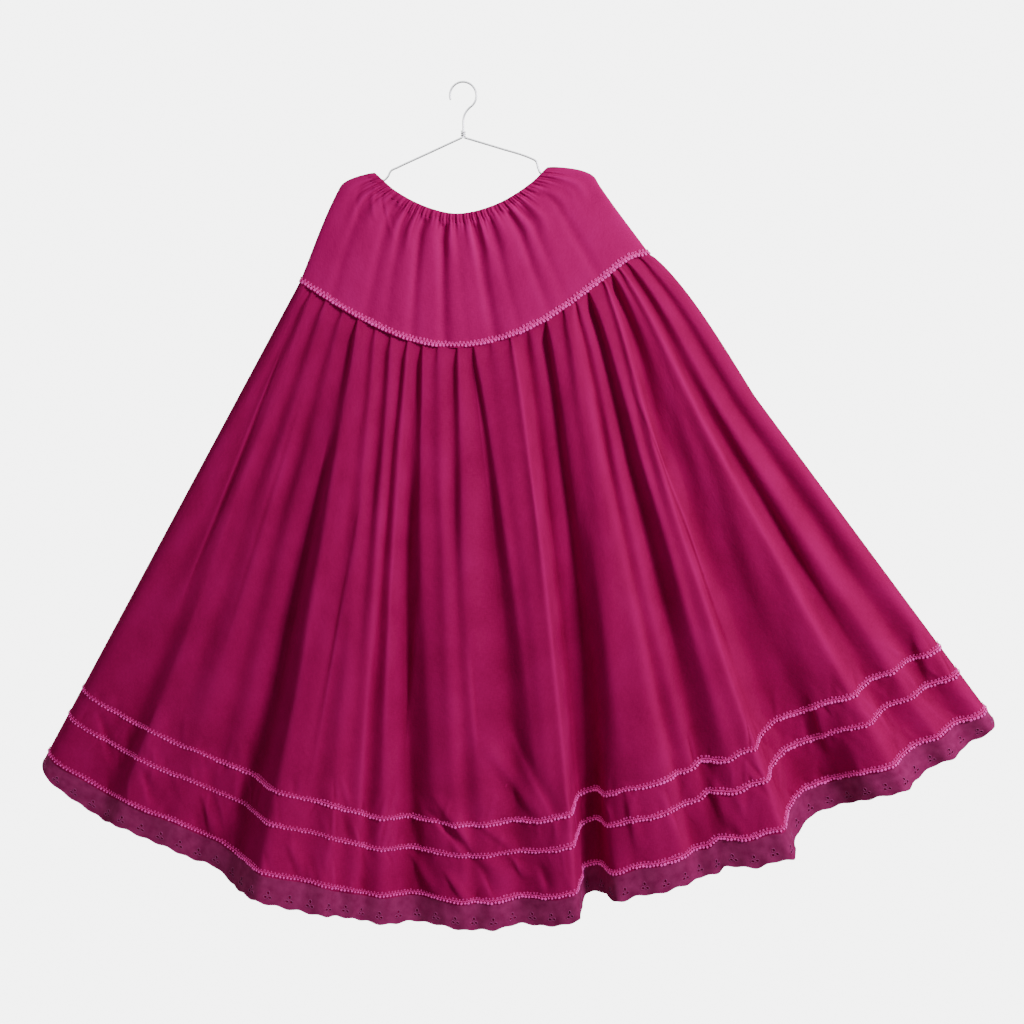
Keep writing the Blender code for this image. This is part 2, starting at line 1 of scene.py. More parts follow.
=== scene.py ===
# %% [markdown]
# # A pleated skirt on its wire hanger
#
# The skirt hangs by its elastic waist, which the hanger's arms stretch from inside. Below the waist comes a
# smooth yoke, then a wide panel pleated into the yoke's lower edge, three rows of picot braid near the hem,
# and a scalloped cutwork edging. The CAD model already gives each of these its size and its place. This
# script keeps that frame and dresses it: finer cloth, real braid, real eyelets and real thread.

# %% Load the frame
import math
from collections import namedtuple

import bpy
import numpy as np
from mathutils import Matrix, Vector
from mathutils.geometry import delaunay_2d_cdt


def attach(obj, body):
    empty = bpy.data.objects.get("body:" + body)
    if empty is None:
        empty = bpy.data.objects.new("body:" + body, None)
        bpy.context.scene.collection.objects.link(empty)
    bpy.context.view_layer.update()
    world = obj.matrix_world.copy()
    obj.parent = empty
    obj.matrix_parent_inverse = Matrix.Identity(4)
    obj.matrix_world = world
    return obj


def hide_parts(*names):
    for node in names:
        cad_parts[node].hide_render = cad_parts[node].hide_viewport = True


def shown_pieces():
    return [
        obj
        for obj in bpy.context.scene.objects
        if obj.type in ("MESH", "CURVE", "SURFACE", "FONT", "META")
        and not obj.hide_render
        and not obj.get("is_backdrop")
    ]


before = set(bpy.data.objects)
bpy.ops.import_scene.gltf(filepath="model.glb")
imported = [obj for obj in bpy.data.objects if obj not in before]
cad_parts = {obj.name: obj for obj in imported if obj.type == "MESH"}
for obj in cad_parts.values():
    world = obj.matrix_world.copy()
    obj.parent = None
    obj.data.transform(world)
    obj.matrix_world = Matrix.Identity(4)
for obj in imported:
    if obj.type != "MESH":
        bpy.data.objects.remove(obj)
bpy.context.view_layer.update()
MM = 0.001

# %% [markdown]
# ## Two helpers for every material
# Colours are easiest to read off as sRGB hex values, but Blender's shaders work in linear light, so one
# function converts them. A second one adds a node, sets its constants and joins its inputs in one call,
# which keeps each material short enough to read as a recipe.


# %% Colour and node helpers
def to_linear(code, alpha=1.0):
    """A hex colour such as "#B3245F" as linear red, green, blue and alpha."""
    parts = [int(code[i:i + 2], 16) / 255 for i in (1, 3, 5)]
    return (*[p / 12.92 if p <= 0.04045 else ((p + 0.055) / 1.055) ** 2.4 for p in parts], alpha)


def add_node(tree, kind, values=None, links=None, **settings):
    """Adds a node, sets its properties and constants, and joins other nodes' outputs to its inputs."""
    node = tree.nodes.new(kind)
    for key, value in settings.items():
        setattr(node, key, value)
    for key, value in (values or {}).items():
        node.inputs[key].default_value = value
    for key, socket in (links or {}).items():
        tree.links.new(socket, node.inputs[key])
    return node


def new_material(name):
    """An empty node material with its Principled shader."""
    made = bpy.data.materials.new(name)
    made.use_nodes = True
    return made, made.node_tree, made.node_tree.nodes["Principled BSDF"]


def per_metre(millimetres):
    """The noise scale that gives about one patch in so many millimetres, on coordinates in metres."""
    return 1.0 / (millimetres * MM)


print("magenta in linear light:", [round(v, 3) for v in to_linear("#A20E54")])

# %% [markdown]
# ## The studio
# The skirt hangs free in front of a pale ground. The camera looks slightly down at it from 1.8 m. The floor
# lies below the hem and is as pale as the world behind it, so no horizon shows. One soft light from the
# upper right gives each fold a lit side and a shaded side. A weak one fills the left, and one lights the back.

# %% Camera
PITCH = math.radians(8)
DISTANCE = 1.8
AIM = Vector((0.0703, 0.0, -0.6215))
LENS = 42.0         # mm

camera = bpy.data.objects.new("camera", bpy.data.cameras.new("camera"))
bpy.context.collection.objects.link(camera)
camera.location = AIM + DISTANCE * Vector((0, -math.cos(PITCH), math.sin(PITCH)))
camera.rotation_euler = (math.pi / 2 - PITCH, 0, 0)
camera.data.lens = LENS
bpy.context.scene.camera = camera
print("camera at", [round(v, 3) for v in camera.location])

# %% Pale ground
PALE = to_linear("#F0F0F0")
AMBIENT = 0.30      # how strongly the pale ground lights the cloth
SEEN = 6.6          # how bright it is itself, so that the film shows it as #F0F0F0
GLOSS = 3.2         # how bright it is in the wire's reflections
FLOOR_HALF, FLOOR_Z = 12.0, -1.6


def ground_strength(tree):
    """The light path, and the strength of a ground that looks brighter than the light that it gives."""
    path = add_node(tree, "ShaderNodeLightPath")
    return path, add_node(tree, "ShaderNodeMath", {1: SEEN - AMBIENT, 2: AMBIENT},
                          {0: path.outputs["Is Camera Ray"]}, operation="MULTIPLY_ADD")


world = bpy.data.worlds.new("studio")
world.use_nodes = True
tree = world.node_tree
sky = tree.nodes["Background"]
sky.inputs["Color"].default_value = PALE
path, strength = ground_strength(tree)
strength = add_node(tree, "ShaderNodeMath", {1: GLOSS - AMBIENT}, {0: path.outputs["Is Glossy Ray"],
                    2: strength.outputs[0]}, operation="MULTIPLY_ADD")
tree.links.new(strength.outputs[0], sky.inputs["Strength"])
bpy.context.scene.world = world

mesh = bpy.data.meshes.new("floor")
corners = [(x * FLOOR_HALF, y * FLOOR_HALF, FLOOR_Z) for x, y in ((-1, -1), (1, -1), (1, 1), (-1, 1))]
mesh.from_pydata(corners, [], [(0, 1, 2, 3)])
floor = bpy.data.objects.new("floor", mesh)
bpy.context.collection.objects.link(floor)
pale_floor, tree, shader = new_material("matt_paper_floor")
shader.inputs["Base Color"].default_value = to_linear("#202020")
shader.inputs["Roughness"].default_value = 1.0
shader.inputs["Specular IOR Level"].default_value = 0.0
shader.inputs["Emission Color"].default_value = PALE
tree.links.new(ground_strength(tree)[1].outputs[0], shader.inputs["Emission Strength"])
mesh.materials.append(pale_floor)
floor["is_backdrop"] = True
print("floor at", FLOOR_Z, "m")


# %% Lights
def soft_light(name, place, target, size, watts, colour):
    """A square lamp that faces a target; places and sizes are in metres."""
    lamp = bpy.data.lights.new(name, "AREA")
    lamp.size, lamp.energy, lamp.color = size, watts, to_linear(colour)[:3]
    thing = bpy.data.objects.new(name, lamp)
    thing.location = place
    thing.rotation_euler = (Vector(target) - Vector(place)).to_track_quat("-Z", "Y").to_euler()
    bpy.context.collection.objects.link(thing)


soft_light("key", (2.05, -1.65, 0.6), (0.05, 0.0, -0.6), 0.6, 91, "#F4E8FF")
soft_light("fill", (-1.2, -2.6, -0.2), (-0.2, 0.0, -0.8), 1.6, 2.5, "#FFFFFF")
soft_light("back", (0.2, 2.8, 0.3), (0.0, 0.0, -0.7), 1.6, 36, "#FFFFFF")
print("lamps:", [lamp.name for lamp in bpy.data.lights])

# %% [markdown]
# ## The skirt's own sizes
# These are the same named sizes and outlines as in the CAD source, in millimetres, because each dressed
# piece has to lie exactly where its solid lies. X runs across, the front faces -Y, and Z is up.

# %% Sizes and outlines
CLOTH = 1.2
UNDERLAP = 34.0     # the cloth's hem runs on behind the edging this far, coloured with painted shade
UNDERLAP_GAP = 1.5
BAND_HEIGHT = 16.0
BAND_WALL = 3.0
EDGING_WALL = 0.9
EDGING_DROP = 43.0
SCALLOP_RISE = 3.0
SCALLOPS = 60
BRAID_HEIGHT = 9.0
SEAM_GAP = 0.3
YOKE_SEAM_TO_UPPER_BRAID = 717.0
UPPER_TO_MIDDLE_BRAID = 48.0
MIDDLE_BRAID_TO_EDGING = 77.0
DROP = YOKE_SEAM_TO_UPPER_BRAID + UPPER_TO_MIDDLE_BRAID + MIDDLE_BRAID_TO_EDGING
DROP_EXTRA_LEFT = -20.0
DROP_EXTRA_RIGHT = 28.0
TIP_RISE_RIGHT = 4.0
TIP_POWER = 16
EDGING_SHORTER = (0.6, 0.55)
WAIST_HALF_DEPTH = 9.0
SEAM_HALF_DEPTH = 20.0
BELLY_POWER = 3.0

WAIST_EDGE = ((-128, -125.5), (-97, -152), (-48, -176), (-8, -183.5), (48, -170), (98, -140), (121, -118))
YOKE_SEAM = ((-241, -282), (-151, -336), (-64, -371), (24, -373), (111, -343), (198, -283), (240, -251),
             (272, -242))
YOKE_LEFT = ((-128, -125.5), (-154, -131), (-175, -141), (-183, -153), (-241, -282))
YOKE_RIGHT = ((121, -118), (143, -118), (176, -124), (189, -131), (196, -142), (272, -242))
print("panel drop", DROP, "mm")

# %% Folds of the yoke
# Each fold: its place as a share across, and its depth below the casing and at the seam in mm.
YokeFold = namedtuple("YokeFold", "across depth_top depth_seam")
YOKE_FOLDS = (
    YokeFold(0.252, 2.8, 0.6),
    YokeFold(0.325, 4.4, 2.2),
    YokeFold(0.413, 5.2, 3.0),
    YokeFold(0.545, 4.8, 2.2),
    YokeFold(0.611, 2.8, 0.6),
    YokeFold(0.700, 4.2, 0.8),
    YokeFold(0.753, 3.0, 0.4),
)
YOKE_FOLD_WIDTH = 0.016
SOFT_YOKE_FOLDS = (
    YokeFold(0.095, 1.8, 1.2),
    YokeFold(0.198, 2.6, 1.0),
    YokeFold(0.470, 1.2, 0.4),
    YokeFold(0.855, 2.2, 1.2),
)
FOLD_START = 10.0
GATHERS = 28
SHOULDER_POWER = 3.0
print("yoke folds:", len(YOKE_FOLDS), "and", len(SOFT_YOKE_FOLDS), "soft ones")

# %% Pleats of the skirt
# Each pleat, in mm: its lip's x at the yoke seam and at the hem, how far forward the hem comes and flares,
# the pleat's depth near the yoke, halfway and at the hem, and how far its valley lies to the left at the hem.
# Then, as shares, where the cloth between it and the next pleat holds its width and its depth. Last, its
# sideways bow and the rise of its hem.
Pleat = namedtuple("Pleat", "seam_x hem_x forward flare upper middle lower valley hold fade bow lift")
FRONT_PLEATS = (
    Pleat(-221, -522, 40, 4, 7, 12, 26, 24, 0.5, 0.5, 0, 0),
    Pleat(-201, -440, 40, 2, 9, 9, 6, 28, 0.5, 0.5, -8, 0),
    Pleat(-176, -382, 36, 0, 8, 8, 7, 20, 0.5, 0.5, -4, 0),
    Pleat(-154, -304, 84, 24, 16, 38, 62, 40, 0.5, 0.4, 4, 0),
    Pleat(-129, -208, 80, 20, 8, 7, 9, 24, 0.5, 0.5, 0, 0),
    Pleat(-106, -166, 74, 8, 12, 7, 5, 16, 0.5, 0.5, 0, 0),
    Pleat(-82, -128, 68, 6, 12, 14, 9, 22, 0.5, 0.5, -8, 0),
    Pleat(-60, -30, 64, 4, 15, 30, 24, 46, 0.5, 0.5, -14, 0),
    Pleat(-38, -2, 68, 4, 11, 7, 5, 11, 0.5, 0.5, -8, 0),
    Pleat(-9, 40, 66, 4, 14, 8, 10, 20, 0.5, 0.5, -10, 0),
    Pleat(15, 124, 66, 4, 16, 22, 18, 38, 0.5, 0.5, 14, 0),
    Pleat(40, 144, 70, 6, 12, 9, 5, 9, 0.5, 0.5, 8, 0),
    Pleat(68, 168, 70, 10, 10, 5, 7, 10, 0.5, 0.5, 8, 0),
    Pleat(95, 193, -2, 12, 24, 28, 8, 6, 0.5, 0.5, 8, 9),
    Pleat(121, 224, 24, 32, 26, 34, 48, 10, 0.5, 0.5, 10, 0),
    Pleat(146, 290, 58, 8, 8, 3, 8, 22, 0.8, 0.2, 0, 0),
    Pleat(164, 376, 40, 14, 20, 6, 10, 24, 0.5, 0.5, 0, 0),
    Pleat(182, 430, 50, 20, 26, 30, 20, 44, 0.5, 0.5, 6, -4),
    Pleat(203, 480, 50, 30, 7, 3, 7, 18, 0.3, 0.7, -6, -8),
    Pleat(216, 570, 10, 2, 24, 26, 10, 42, 0.5, 0.5, -4, 12),
    Pleat(225, 648, 40, 16, 6, 6, 10, 40, 0.3, 0.6, 0, 6),
    Pleat(237, 722, 30, 6, 13, 18, 14, 26, 0.5, 0.5, -6, 0),
    Pleat(256, 770, 16, 0, 8, 10, 5, 14, 0.5, 0.5, 0, 0),
)
BackFold = namedtuple("BackFold", "upper middle lower")
BACK_CYCLE = (
    BackFold(12, 20, 26),
    BackFold(9, 8, 7),
    BackFold(13, 14, 10),
    BackFold(16, 32, 34),
    BackFold(8, 9, 8),
    BackFold(11, 10, 14),
    BackFold(9, 12, 8),
)
print(len(FRONT_PLEATS), "pleats a side, behind in a cycle of", len(BACK_CYCLE))

# %% How the pleats open
BACK_FORWARD = 62.0
BACK_EVENNESS = 0.65        # 1 spreads the back's pleats evenly, 0 as the front's are
BACK_MARGIN = 0.9           # in pleats, from a side seam to the nearest pleat behind
FLARE_FROM = 0.6
FORWARD_POWER = 0.85
VALLEY_SHARES = (0.4, 0.6)  # how much a valley's fall follows the lip on its left and its own
NEAREST_MIDDLE = 3.0        # no valley comes closer to the other panel, in mm
LEFT_EDGE_HEM_X = -648.0
RIGHT_EDGE_HEM_X = 801.0
EDGE_ROUND_SEAM = 8.0
EDGE_ROUND_HEM = 18.0
EDGE_DEPTH_HEM = 24.0
RIGHT_BULGE = 13.0
BULGE_ENDS_AT = 0.3
BULGE_RISE = 0.6
PLEAT_DEPTH_SEAM = 3.0
PLEAT_LEAN = 2.0
PLEAT_OPENS_AT = 0.22
TOP_OPENS_AT = 0.035
TOP_LEAN = 4.0
TOP_SHARE = 0.75
TOP_PUFF = 4.0
PUFF_ENDS_AT = 0.5
UPPER_BRAID_AT = YOKE_SEAM_TO_UPPER_BRAID / DROP
MIDDLE_BRAID_AT = (YOKE_SEAM_TO_UPPER_BRAID + UPPER_TO_MIDDLE_BRAID) / DROP
LOWER_BRAID_AT = 1.0 - (BRAID_HEIGHT / 2 + 1.5) / DROP
print("braid at", [round(at, 3) for at in (UPPER_BRAID_AT, MIDDLE_BRAID_AT, LOWER_BRAID_AT)], "of the drop")


# %% [markdown]
# ## Curves through a few measured points
# Every outline is a short table of points that a maker could measure, joined by a smooth curve. The two
# functions take whole arrays of places at once, since the fine cloth has tens of thousands of points.


# %% Smooth curves
def ease(share):
    """0 to 1, leaving and arriving gently."""
    share = np.clip(share, 0.0, 1.0)
    return share * share * (3.0 - 2.0 * share)


def smooth_curve(points, at):
    """Values at many places on a smooth curve through a table of (place, value) rows."""
    places, values = np.array(points, float).T
    steps = np.diff(values) / np.diff(places)
    slopes = np.concatenate([steps[:1], (steps[1:] + steps[:-1]) / 2, steps[-1:]])
    at = np.clip(at, places[0], places[-1])
    i = np.clip(np.searchsorted(places, at, side="right") - 1, 0, len(places) - 2)
    width = places[i + 1] - places[i]
    f = (at - places[i]) / width
    return ((1 + 2 * f) * (1 - f) ** 2 * values[i] + f * (1 - f) ** 2 * width * slopes[i]
            + f * f * (3 - 2 * f) * values[i + 1] + f * f * (f - 1) * width * slopes[i + 1])


def along(points, share):
    """Points on a smooth curve through (x, z) points, at shares of its length."""
    steps = [math.dist(a, b) for a, b in zip(points, points[1:])]
    lengths = np.concatenate([[0.0], np.cumsum(steps)])
    at = np.asarray(share, float) * lengths[-1]
    return np.stack([smooth_curve([(s, p[axis]) for s, p in zip(lengths, points)], at) for axis in (0, 1)], -1)


def belly(across):
    """How full the skirt is at a share across it: 0 at its sides and 1 in the middle."""
    return (1.0 - np.minimum(np.abs(2.0 * across - 1.0), 1.0) ** BELLY_POWER) ** (1.0 / BELLY_POWER)


def seam_z(x):
    return smooth_curve(YOKE_SEAM, x)


def seam_half_depth(x):
    left, right = YOKE_SEAM[0][0], YOKE_SEAM[-1][0]
    return SEAM_GAP / 2 + SEAM_HALF_DEPTH * belly((x - left) / (right - left))


def unit(vectors):
    return vectors / np.maximum(np.linalg.norm(vectors, axis=-1, keepdims=True), 1e-12)


def normals(grid):
    """Outward direction at each point of a grid of rows (downwards) and columns (left to right)."""
    down = np.gradient(grid, axis=0)
    step = grid[:, 1:] - grid[:, :-1]
    forward = np.zeros_like(grid[:, :1])
    forward[..., 1] = -1.0
    left = np.concatenate([forward, step], axis=1)
    right = np.concatenate([step, -forward], axis=1)
    left[:, -1] = -forward[:, 0]
    right[:, 0] = forward[:, 0]
    return unit(unit(np.cross(down, left)) + unit(np.cross(down, right)))


print("seam at x=0:", round(float(seam_z(0.0)), 1), "mm")

# %% [markdown]
# ## Cloth as a closed wall
# Real cloth has two faces and an edge. The outer face carries all the folds, so it gets a fine grid, while
# the hidden inner face takes every second row and column. A strip of five-sided faces joins the
# two along the rim, so the wall is closed. The UV map is the cloth laid flat, in metres, which lets the
# weave follow the threads round every fold. A point attribute marks lips and valleys for the material,
# which paints a highlight on the lips and shade in the valleys.


# %% Wall builder
def quads(rows, cols, start=0, flip=False):
    """The four-sided faces of a grid of points."""
    a = start + (np.arange(rows - 1)[:, None] * cols + np.arange(cols - 1)).ravel()
    corners = (a, a + cols, a + cols + 1, a + 1)
    return np.stack(corners[::-1] if flip else corners, axis=1).tolist()


def make_object(name, points, faces, material, turn=1.0, uv=None, marks=None, sharp=50):
    """A smooth mesh object from points in millimetres, seen from the piece's own side."""
    mesh = bpy.data.meshes.new(name)
    mesh.from_pydata((np.asarray(points) * np.array([turn, turn, 1.0]) * MM).tolist(), [], faces)
    mesh.materials.append(material)
    mesh.shade_smooth()
    mesh.set_sharp_from_angle(angle=math.radians(sharp))
    if uv is not None:
        corners = np.empty(len(mesh.loops), dtype=np.int32)
        mesh.loops.foreach_get("vertex_index", corners)
        layer = mesh.uv_layers.new(name="flat_cloth")
        layer.data.foreach_set("uv", np.asarray(uv, float)[corners].ravel())
    if marks is not None:
        attribute = mesh.attributes.new("fold", "FLOAT", "POINT")
        attribute.data.foreach_set("value", np.asarray(marks, float).ravel())
    thing = bpy.data.objects.new(name, mesh)
    bpy.context.collection.objects.link(thing)
    return thing


LIP_HIGHLIGHT = SUNK_SHADE = 0.8     # how strongly a full bend paints a lip lighter and a valley darker, and a full depth of 9 mm paints shade


def fold_painted_light(grid, out, reach=6.0, half=24, sunk_by=9.0):
    """The painted light mark: about +1, a painted highlight, on a sharp lip; -1, painted shade, in a sharp valley
    or far behind the cloth beside it; and 0 on flat cloth.
    """
    step = np.linalg.norm(grid[:, 1:] - grid[:, :-1], axis=-1)
    bend = np.zeros(grid.shape[:2])
    second = (grid[:, 2:] - grid[:, 1:-1]) / step[:, 1:, None] - (grid[:, 1:-1] - grid[:, :-2]) / step[:, :-1, None]
    bend[:, 1:-1] = -(second * out[:, 1:-1]).sum(-1) / (step[:, 1:] + step[:, :-1]) * 2
    weight = np.exp(-0.5 * (np.arange(-half, half + 1) * 2.6 / half) ** 2)
    ahead = np.pad(-grid[..., 1], ((0, 0), (half, half)), "edge")
    around = np.stack([np.convolve(row, weight / weight.sum(), "valid") for row in ahead])
    sunk = np.clip((-grid[..., 1] - around) / sunk_by, -1, 0)
    return np.clip(LIP_HIGHLIGHT * np.clip(bend * reach, -1, 1) + SUNK_SHADE * sunk, -1, 1)


def cloth_wall(name, grid, thickness, uv, material, turn, shade=0.0):
    """A closed wall of cloth round a grid with odd numbers of rows and columns; shade darkens whole rows with
    painted shade.
    """
    rows, cols = grid.shape[:2]
    out = normals(grid)
    outer, inner = grid + out * thickness / 2, (grid - out * thickness / 2)[::2, ::2]
    count, short = rows * cols, inner.shape[1]
    faces = quads(rows, cols) + quads(*inner.shape[:2], start=count, flip=True)
    last_r, last_c = inner.shape[0] - 1, inner.shape[1] - 1
    rim = [(0, c) for c in range(last_c)] + [(r, last_c) for r in range(last_r)]
    rim += [(last_r, c) for c in range(last_c, 0, -1)] + [(r, 0) for r in range(last_r, 0, -1)]
    for (r1, c1), (r2, c2) in zip(rim, rim[1:] + rim[:1]):
        faces.append((2 * r1 * cols + 2 * c1, (r1 + r2) * cols + c1 + c2, 2 * r2 * cols + 2 * c2,
                      count + r2 * short + c2, count + r1 * short + c1))
    points = np.concatenate([outer.reshape(-1, 3), inner.reshape(-1, 3)])
    flat = np.concatenate([uv.reshape(-1, 2), uv[::2, ::2].reshape(-1, 2)])
    # The fold attribute carries painted highlight on lips and painted shade in valleys.
    marks = np.clip(fold_painted_light(grid, out) + np.broadcast_to(shade, rows)[:, None], -1, 1)
    marks = np.concatenate([marks.ravel(), np.zeros(inner.shape[0] * short)])
    return make_object(name, points, faces, material, turn, flat, marks), outer, out


def dress(thing, node=None):
    """Fixes a finished piece to the object's one body, in place of the plain solid where it has one."""
    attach(thing, "root")
    if node:
        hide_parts(node)
    print(thing.name, "faces", len(thing.data.polygons))


# %% [markdown]
# ## The cloth's finish
# The skirt is a plain-weave cotton and polyester cloth, dyed magenta. Such cloth is matt, with a faint
# bloom where fibre ends catch the light. Its threads are about 0.4 mm apart, too fine to show from here,
# so the slubs are drawn about five times as coarse. The colour also carries painted light: a little paler
# as a painted highlight on sharp lips of folds, and darker as painted shade in the valleys.

# %% Woven cloth material
SLUB_WIDTH, SLUB_LENGTH = 1.786, 7.69       # mm
DYE_PATCH, CRUMPLE = 71.4, 16.7             # mm
THREAD_DEPTH, CRUMPLE_DEPTH = 0.4, 2.0      # mm
FOLD_PAINTED_LIGHT = 0.29                            # how far a full fold mark moves the colour into painted highlight on a lip and painted shade in a valley


def woven_cloth(name, body, shade_and_dark_dye, highlight_and_light_dye, bump):
    """Plain-weave dyed cloth; the three colours are its body, its darker dye and painted shade, and its lighter dye
    and painted highlight.
    """
    made, tree, shader = new_material(name)
    uv = add_node(tree, "ShaderNodeUVMap", uv_map="flat_cloth")
    thin, long = per_metre(SLUB_WIDTH), per_metre(SLUB_LENGTH)
    warp = add_node(tree, "ShaderNodeMapping", {"Scale": (thin, long, 1.0)}, {"Vector": uv.outputs[0]})
    weft = add_node(tree, "ShaderNodeMapping", {"Scale": (long, thin, 1.0)}, {"Vector": uv.outputs[0]})
    slubs = [add_node(tree, "ShaderNodeTexNoise", {"Scale": 1.0, "Detail": 2.0}, {"Vector": m.outputs[0]})
             for m in (warp, weft)]
    weave = add_node(tree, "ShaderNodeMath", None, {0: slubs[0].outputs[0], 1: slubs[1].outputs[0]},
                     operation="ADD")
    cloud = add_node(tree, "ShaderNodeTexNoise", {"Scale": per_metre(DYE_PATCH), "Detail": 3.0},
                     {"Vector": uv.outputs[0]})
    # The fold attribute moves the colour towards painted highlight on lips and painted shade in valleys.
    fold = add_node(tree, "ShaderNodeAttribute", attribute_name="fold")
    dyed = add_node(tree, "ShaderNodeMapRange", {"From Min": 0.75, "From Max": 1.25, "To Min": -0.07,
                    "To Max": 0.07}, {"Value": weave.outputs[0]})
    patch = add_node(tree, "ShaderNodeMapRange", {"From Min": 0.3, "From Max": 0.7, "To Min": -0.12,
                     "To Max": 0.12}, {"Value": cloud.outputs[0]})
    tone = add_node(tree, "ShaderNodeMath", {1: FOLD_PAINTED_LIGHT, 2: 0.5}, {0: fold.outputs["Fac"]},
                    operation="MULTIPLY_ADD")
    for part in (dyed, patch):
        tone = add_node(tree, "ShaderNodeMath", None, {0: tone.outputs[0], 1: part.outputs[0]}, operation="ADD")
    ramp = add_node(tree, "ShaderNodeValToRGB", None, {"Fac": tone.outputs[0]})
    ramp.color_ramp.elements[0].color = to_linear(shade_and_dark_dye)
    ramp.color_ramp.elements[1].color = to_linear(highlight_and_light_dye)
    ramp.color_ramp.elements.new(0.5).color = to_linear(body)
    tree.links.new(ramp.outputs[0], shader.inputs["Base Color"])
    rough = add_node(tree, "ShaderNodeMapRange", {"From Min": 0.3, "From Max": 0.7, "To Min": 0.78,
                     "To Max": 0.9}, {"Value": cloud.outputs[0]})
    tree.links.new(rough.outputs[0], shader.inputs["Roughness"])
    crumple = add_node(tree, "ShaderNodeTexNoise", {"Scale": per_metre(CRUMPLE), "Detail": 3.0, "Distortion": 0.6},
                       {"Vector": uv.outputs[0]})
    soft = add_node(tree, "ShaderNodeBump", {"Strength": 0.25, "Distance": CRUMPLE_DEPTH * MM},
                    {"Height": crumple.outputs[0]})
    thread = add_node(tree, "ShaderNodeBump", {"Strength": bump, "Distance": THREAD_DEPTH * MM},
                      {"Height": weave.outputs[0], "Normal": soft.outputs[0]})
    tree.links.new(thread.outputs[0], shader.inputs["Normal"])
    shader.inputs["IOR"].default_value = 1.47
    shader.inputs["Specular IOR Level"].default_value = 0.04
    shader.inputs["Sheen Weight"].default_value = 0.02
    shader.inputs["Sheen Roughness"].default_value = 0.5
    shader.inputs["Sheen Tint"].default_value = to_linear("#F0409A")
    return made


# The darker and paler colours serve both the dye's patches and the folds' painted shade and painted highlight.
panel_cloth = woven_cloth("plain_weave_cotton_magenta", "#A20E54", "#7C0834", "#B8126A", 0.3)
yoke_cloth = woven_cloth("plain_weave_cotton_yoke", "#BA1068", "#92084C", "#CC1A7C", 0.3)
print("cloth materials:", panel_cloth.name, yoke_cloth.name)


# %% [markdown]
# ## The pleated panel, thread by thread
# The panel is cut as a wide strip and pleated to the yoke seam, so a thread that starts at one place along
# the seam runs down the same fold all the way. Each pleat's lip and valley are lines of the
# cloth. Between them the cloth bends softly: the corners of each row are blurred along the thread's
# place in the strip, tightly near the seam, where the pleats are pressed, and widely at the hem.


# %% Panel surface
# Blur along the thread, in millimetres of hem, at shares of the drop.
SOFTNESS = ((0.0, 4.0), (0.04, 8.0), (0.3, 8.5), (1.0, 9.5))
# Wide pleats roll over more roundly near the yoke; widths are in millimetres of hem from lip to lip.
WIDE_FROM, WIDE_TO, ROLL, ROLL_ENDS = 50.0, 110.0, 2.2, 0.75
CLOSER, CLOSER_WITHIN = 1.2, 9.0    # the fine grid's columns are closer within so many mm of a lip or valley


def edging_lost(places, panel):
    """Share of the edging's drop that is missing at places along the hem."""
    side = 2.0 * places / panel.width - 1.0
    return np.where(side * panel.turn < 0, EDGING_SHORTER[0], EDGING_SHORTER[1]) * np.abs(side) ** TIP_POWER


def blurred(line, spread):
    """A line of points a millimetre apart, smoothed over about twice the spread."""
    reach = int(4 * spread)
    kernel = np.exp(-0.5 * (np.arange(-reach, reach + 1) / spread) ** 2)
    long = np.concatenate([2 * line[0] - line[reach:0:-1], line, 2 * line[-1] - line[-2:-reach - 2:-1]])
    return np.stack([np.convolve(long[:, axis], kernel / kernel.sum(), "valid") for axis in range(3)], -1)


